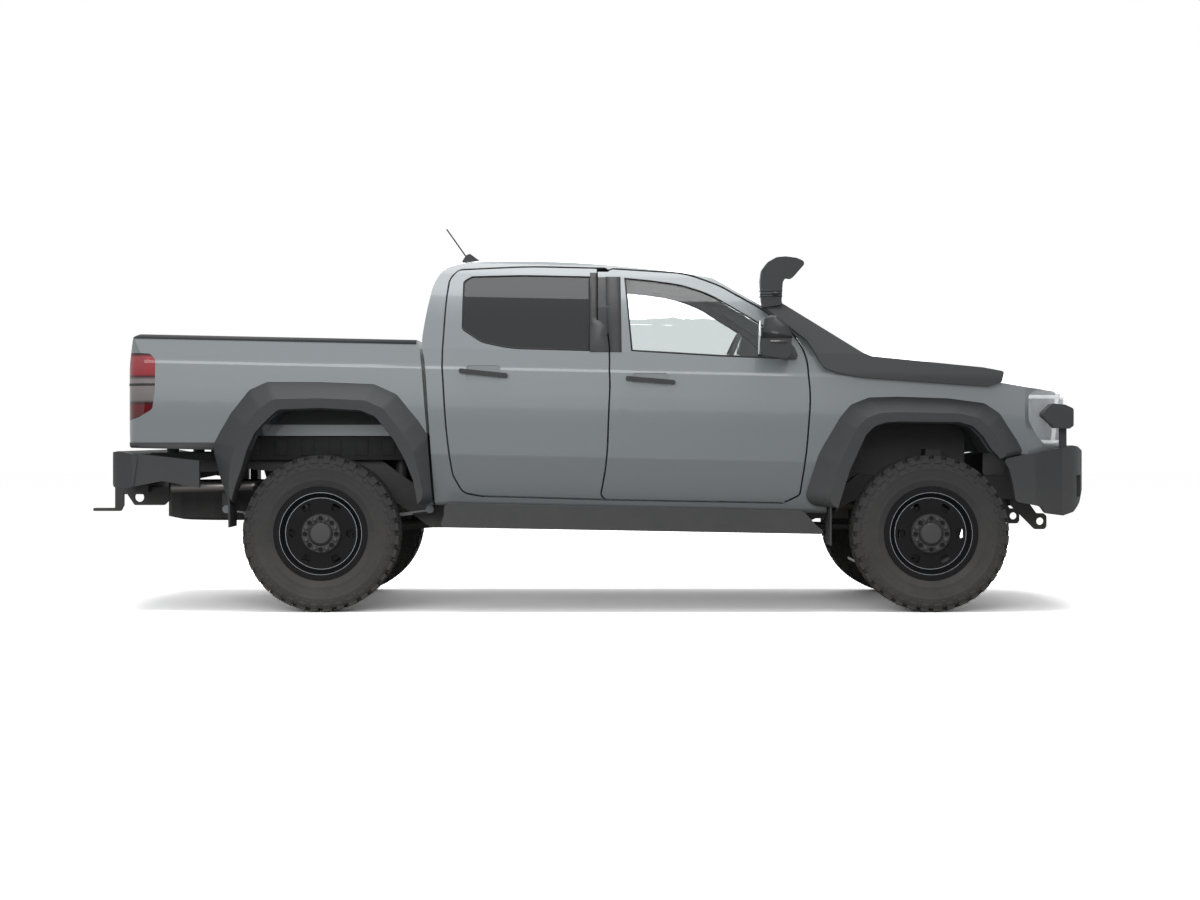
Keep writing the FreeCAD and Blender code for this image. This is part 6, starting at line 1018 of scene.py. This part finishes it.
for side in SIDES.values():
    plinth = rounded_block((PLINTH_REAR, SEAT_Y - PLINTH_HALF, seat_floor + FLOOR_GAP),
                           (PLINTH_FRONT, SEAT_Y + PLINTH_HALF, PLINTH_TOP), PLINTH_EDGE)
    posts = [turned(HEAD_POST_ROWS, (HEAD_POST_X, SEAT_Y + offset, HEAD_POST_Z), HEAD_POST_WAY,
                    steps=12) for offset in (-HEAD_POST_HALF, HEAD_POST_HALF)]
    frames.append(on_side(joined_mesh([plinth] + posts), side))
seat_frames = settle(joined_mesh(frames), "front_seat_frames", satin_black, "truck")
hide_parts("front_seats")

# Rear bench: one wide cushion on a plain black base, and a wide backrest on the cab's rear wall,
# both in the same cloth with four long channels.
BENCH_CUSHION = [(-0.430, 0.868), (-0.452, 1.015), (-0.160, 0.992), (-0.105, 0.968),
                 (-0.112, 0.868)]
BENCH_BACK = [(-0.640, 0.960), (-0.686, 1.510), (-0.662, 1.582), (-0.612, 1.582), (-0.480, 1.050),
              (-0.505, 0.960)]
BENCH_SHRINK, BENCH_EDGE, BENCH_VOXEL = 0.020, 0.026, 0.011
BENCH_LONG, BENCH_SEAT_CROSS, BENCH_BACK_CROSS = (-0.46, -0.20, 0.20, 0.46), -0.250, 1.250
BENCH_BACK_WAY, BENCH_SIDE_GAP = (1, 0, 0.2), 0.004
BASE_REAR, BASE_FRONT, BASE_TOP, BASE_SET_IN = -0.500, -0.165, 0.866, 0.02
bench_low, bench_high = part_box("rear_bench")
bench_half = bench_high[1] - BENCH_SIDE_GAP
bench_lines = [seam_along(line_y) for line_y in BENCH_LONG]
bench_seat = stuffed(seat_form(BENCH_CUSHION, -bench_half, bench_half, BENCH_SHRINK, BENCH_EDGE),
                     "rear_cushion", "truck", bench_lines + [seam_at(BENCH_SEAT_CROSS)],
                     CUSHION_WAY, voxel=BENCH_VOXEL)
bench_back = stuffed(seat_form(BENCH_BACK, -bench_half, bench_half, BENCH_SHRINK, BENCH_EDGE),
                     "rear_backrest", "truck", bench_lines + [seam_up(BENCH_BACK_CROSS)],
                     BENCH_BACK_WAY, voxel=BENCH_VOXEL)
bench_block = rounded_block((BASE_REAR, -bench_half + BASE_SET_IN, bench_low[2] + FLOOR_GAP),
                            (BASE_FRONT, bench_half - BASE_SET_IN, BASE_TOP), PLINTH_EDGE)
bench_frame = settle(bench_block, "rear_bench_frame", satin_black, "truck")
for piece in (bench_seat, bench_back, bench_frame):
    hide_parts("rear_bench")

# Headlining and carpet: a grey moulded roof lining clipped up under the roof, and a dark
# needle-felt carpet laid on the floor, both pressed to the shell's own surface.
felt = finish("needle_felt", (0.03, 0.031, 0.034), 0.95, grain=260.0, bump=0.6, mottle=0.3,
              sheen=0.2)
roof_lining = finish("roof_lining", (0.16, 0.16, 0.158), 0.9, grain=500.0, bump=0.2, mottle=0.08,
                     sheen=0.1)
LINING_FOOT, LINING_WALL, LINING_REACH = 1.72, 0.003, 0.45
CARPET_TOP, CARPET_FOOT, CARPET_FRONT, CARPET_HALF = 0.95, 0.70, 1.45, 0.70
CARPET_WALL, CARPET_REACH = 0.004, 0.6
under_roof = skin("cab_shell", (0, 0, -1), [above(LINING_FOOT)], LINING_REACH)
lay(under_roof, "headlining", LINING_WALL, roof_lining, "truck")
cab_floor = skin("cab_shell", (0, 0, 1), [
    below(CARPET_TOP), above(CARPET_FOOT), behind(CARPET_FRONT), inside(1, CARPET_HALF),
    inside(-1, CARPET_HALF)], CARPET_REACH)
lay(cab_floor, "carpet", CARPET_WALL, felt, "truck")

low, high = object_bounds()
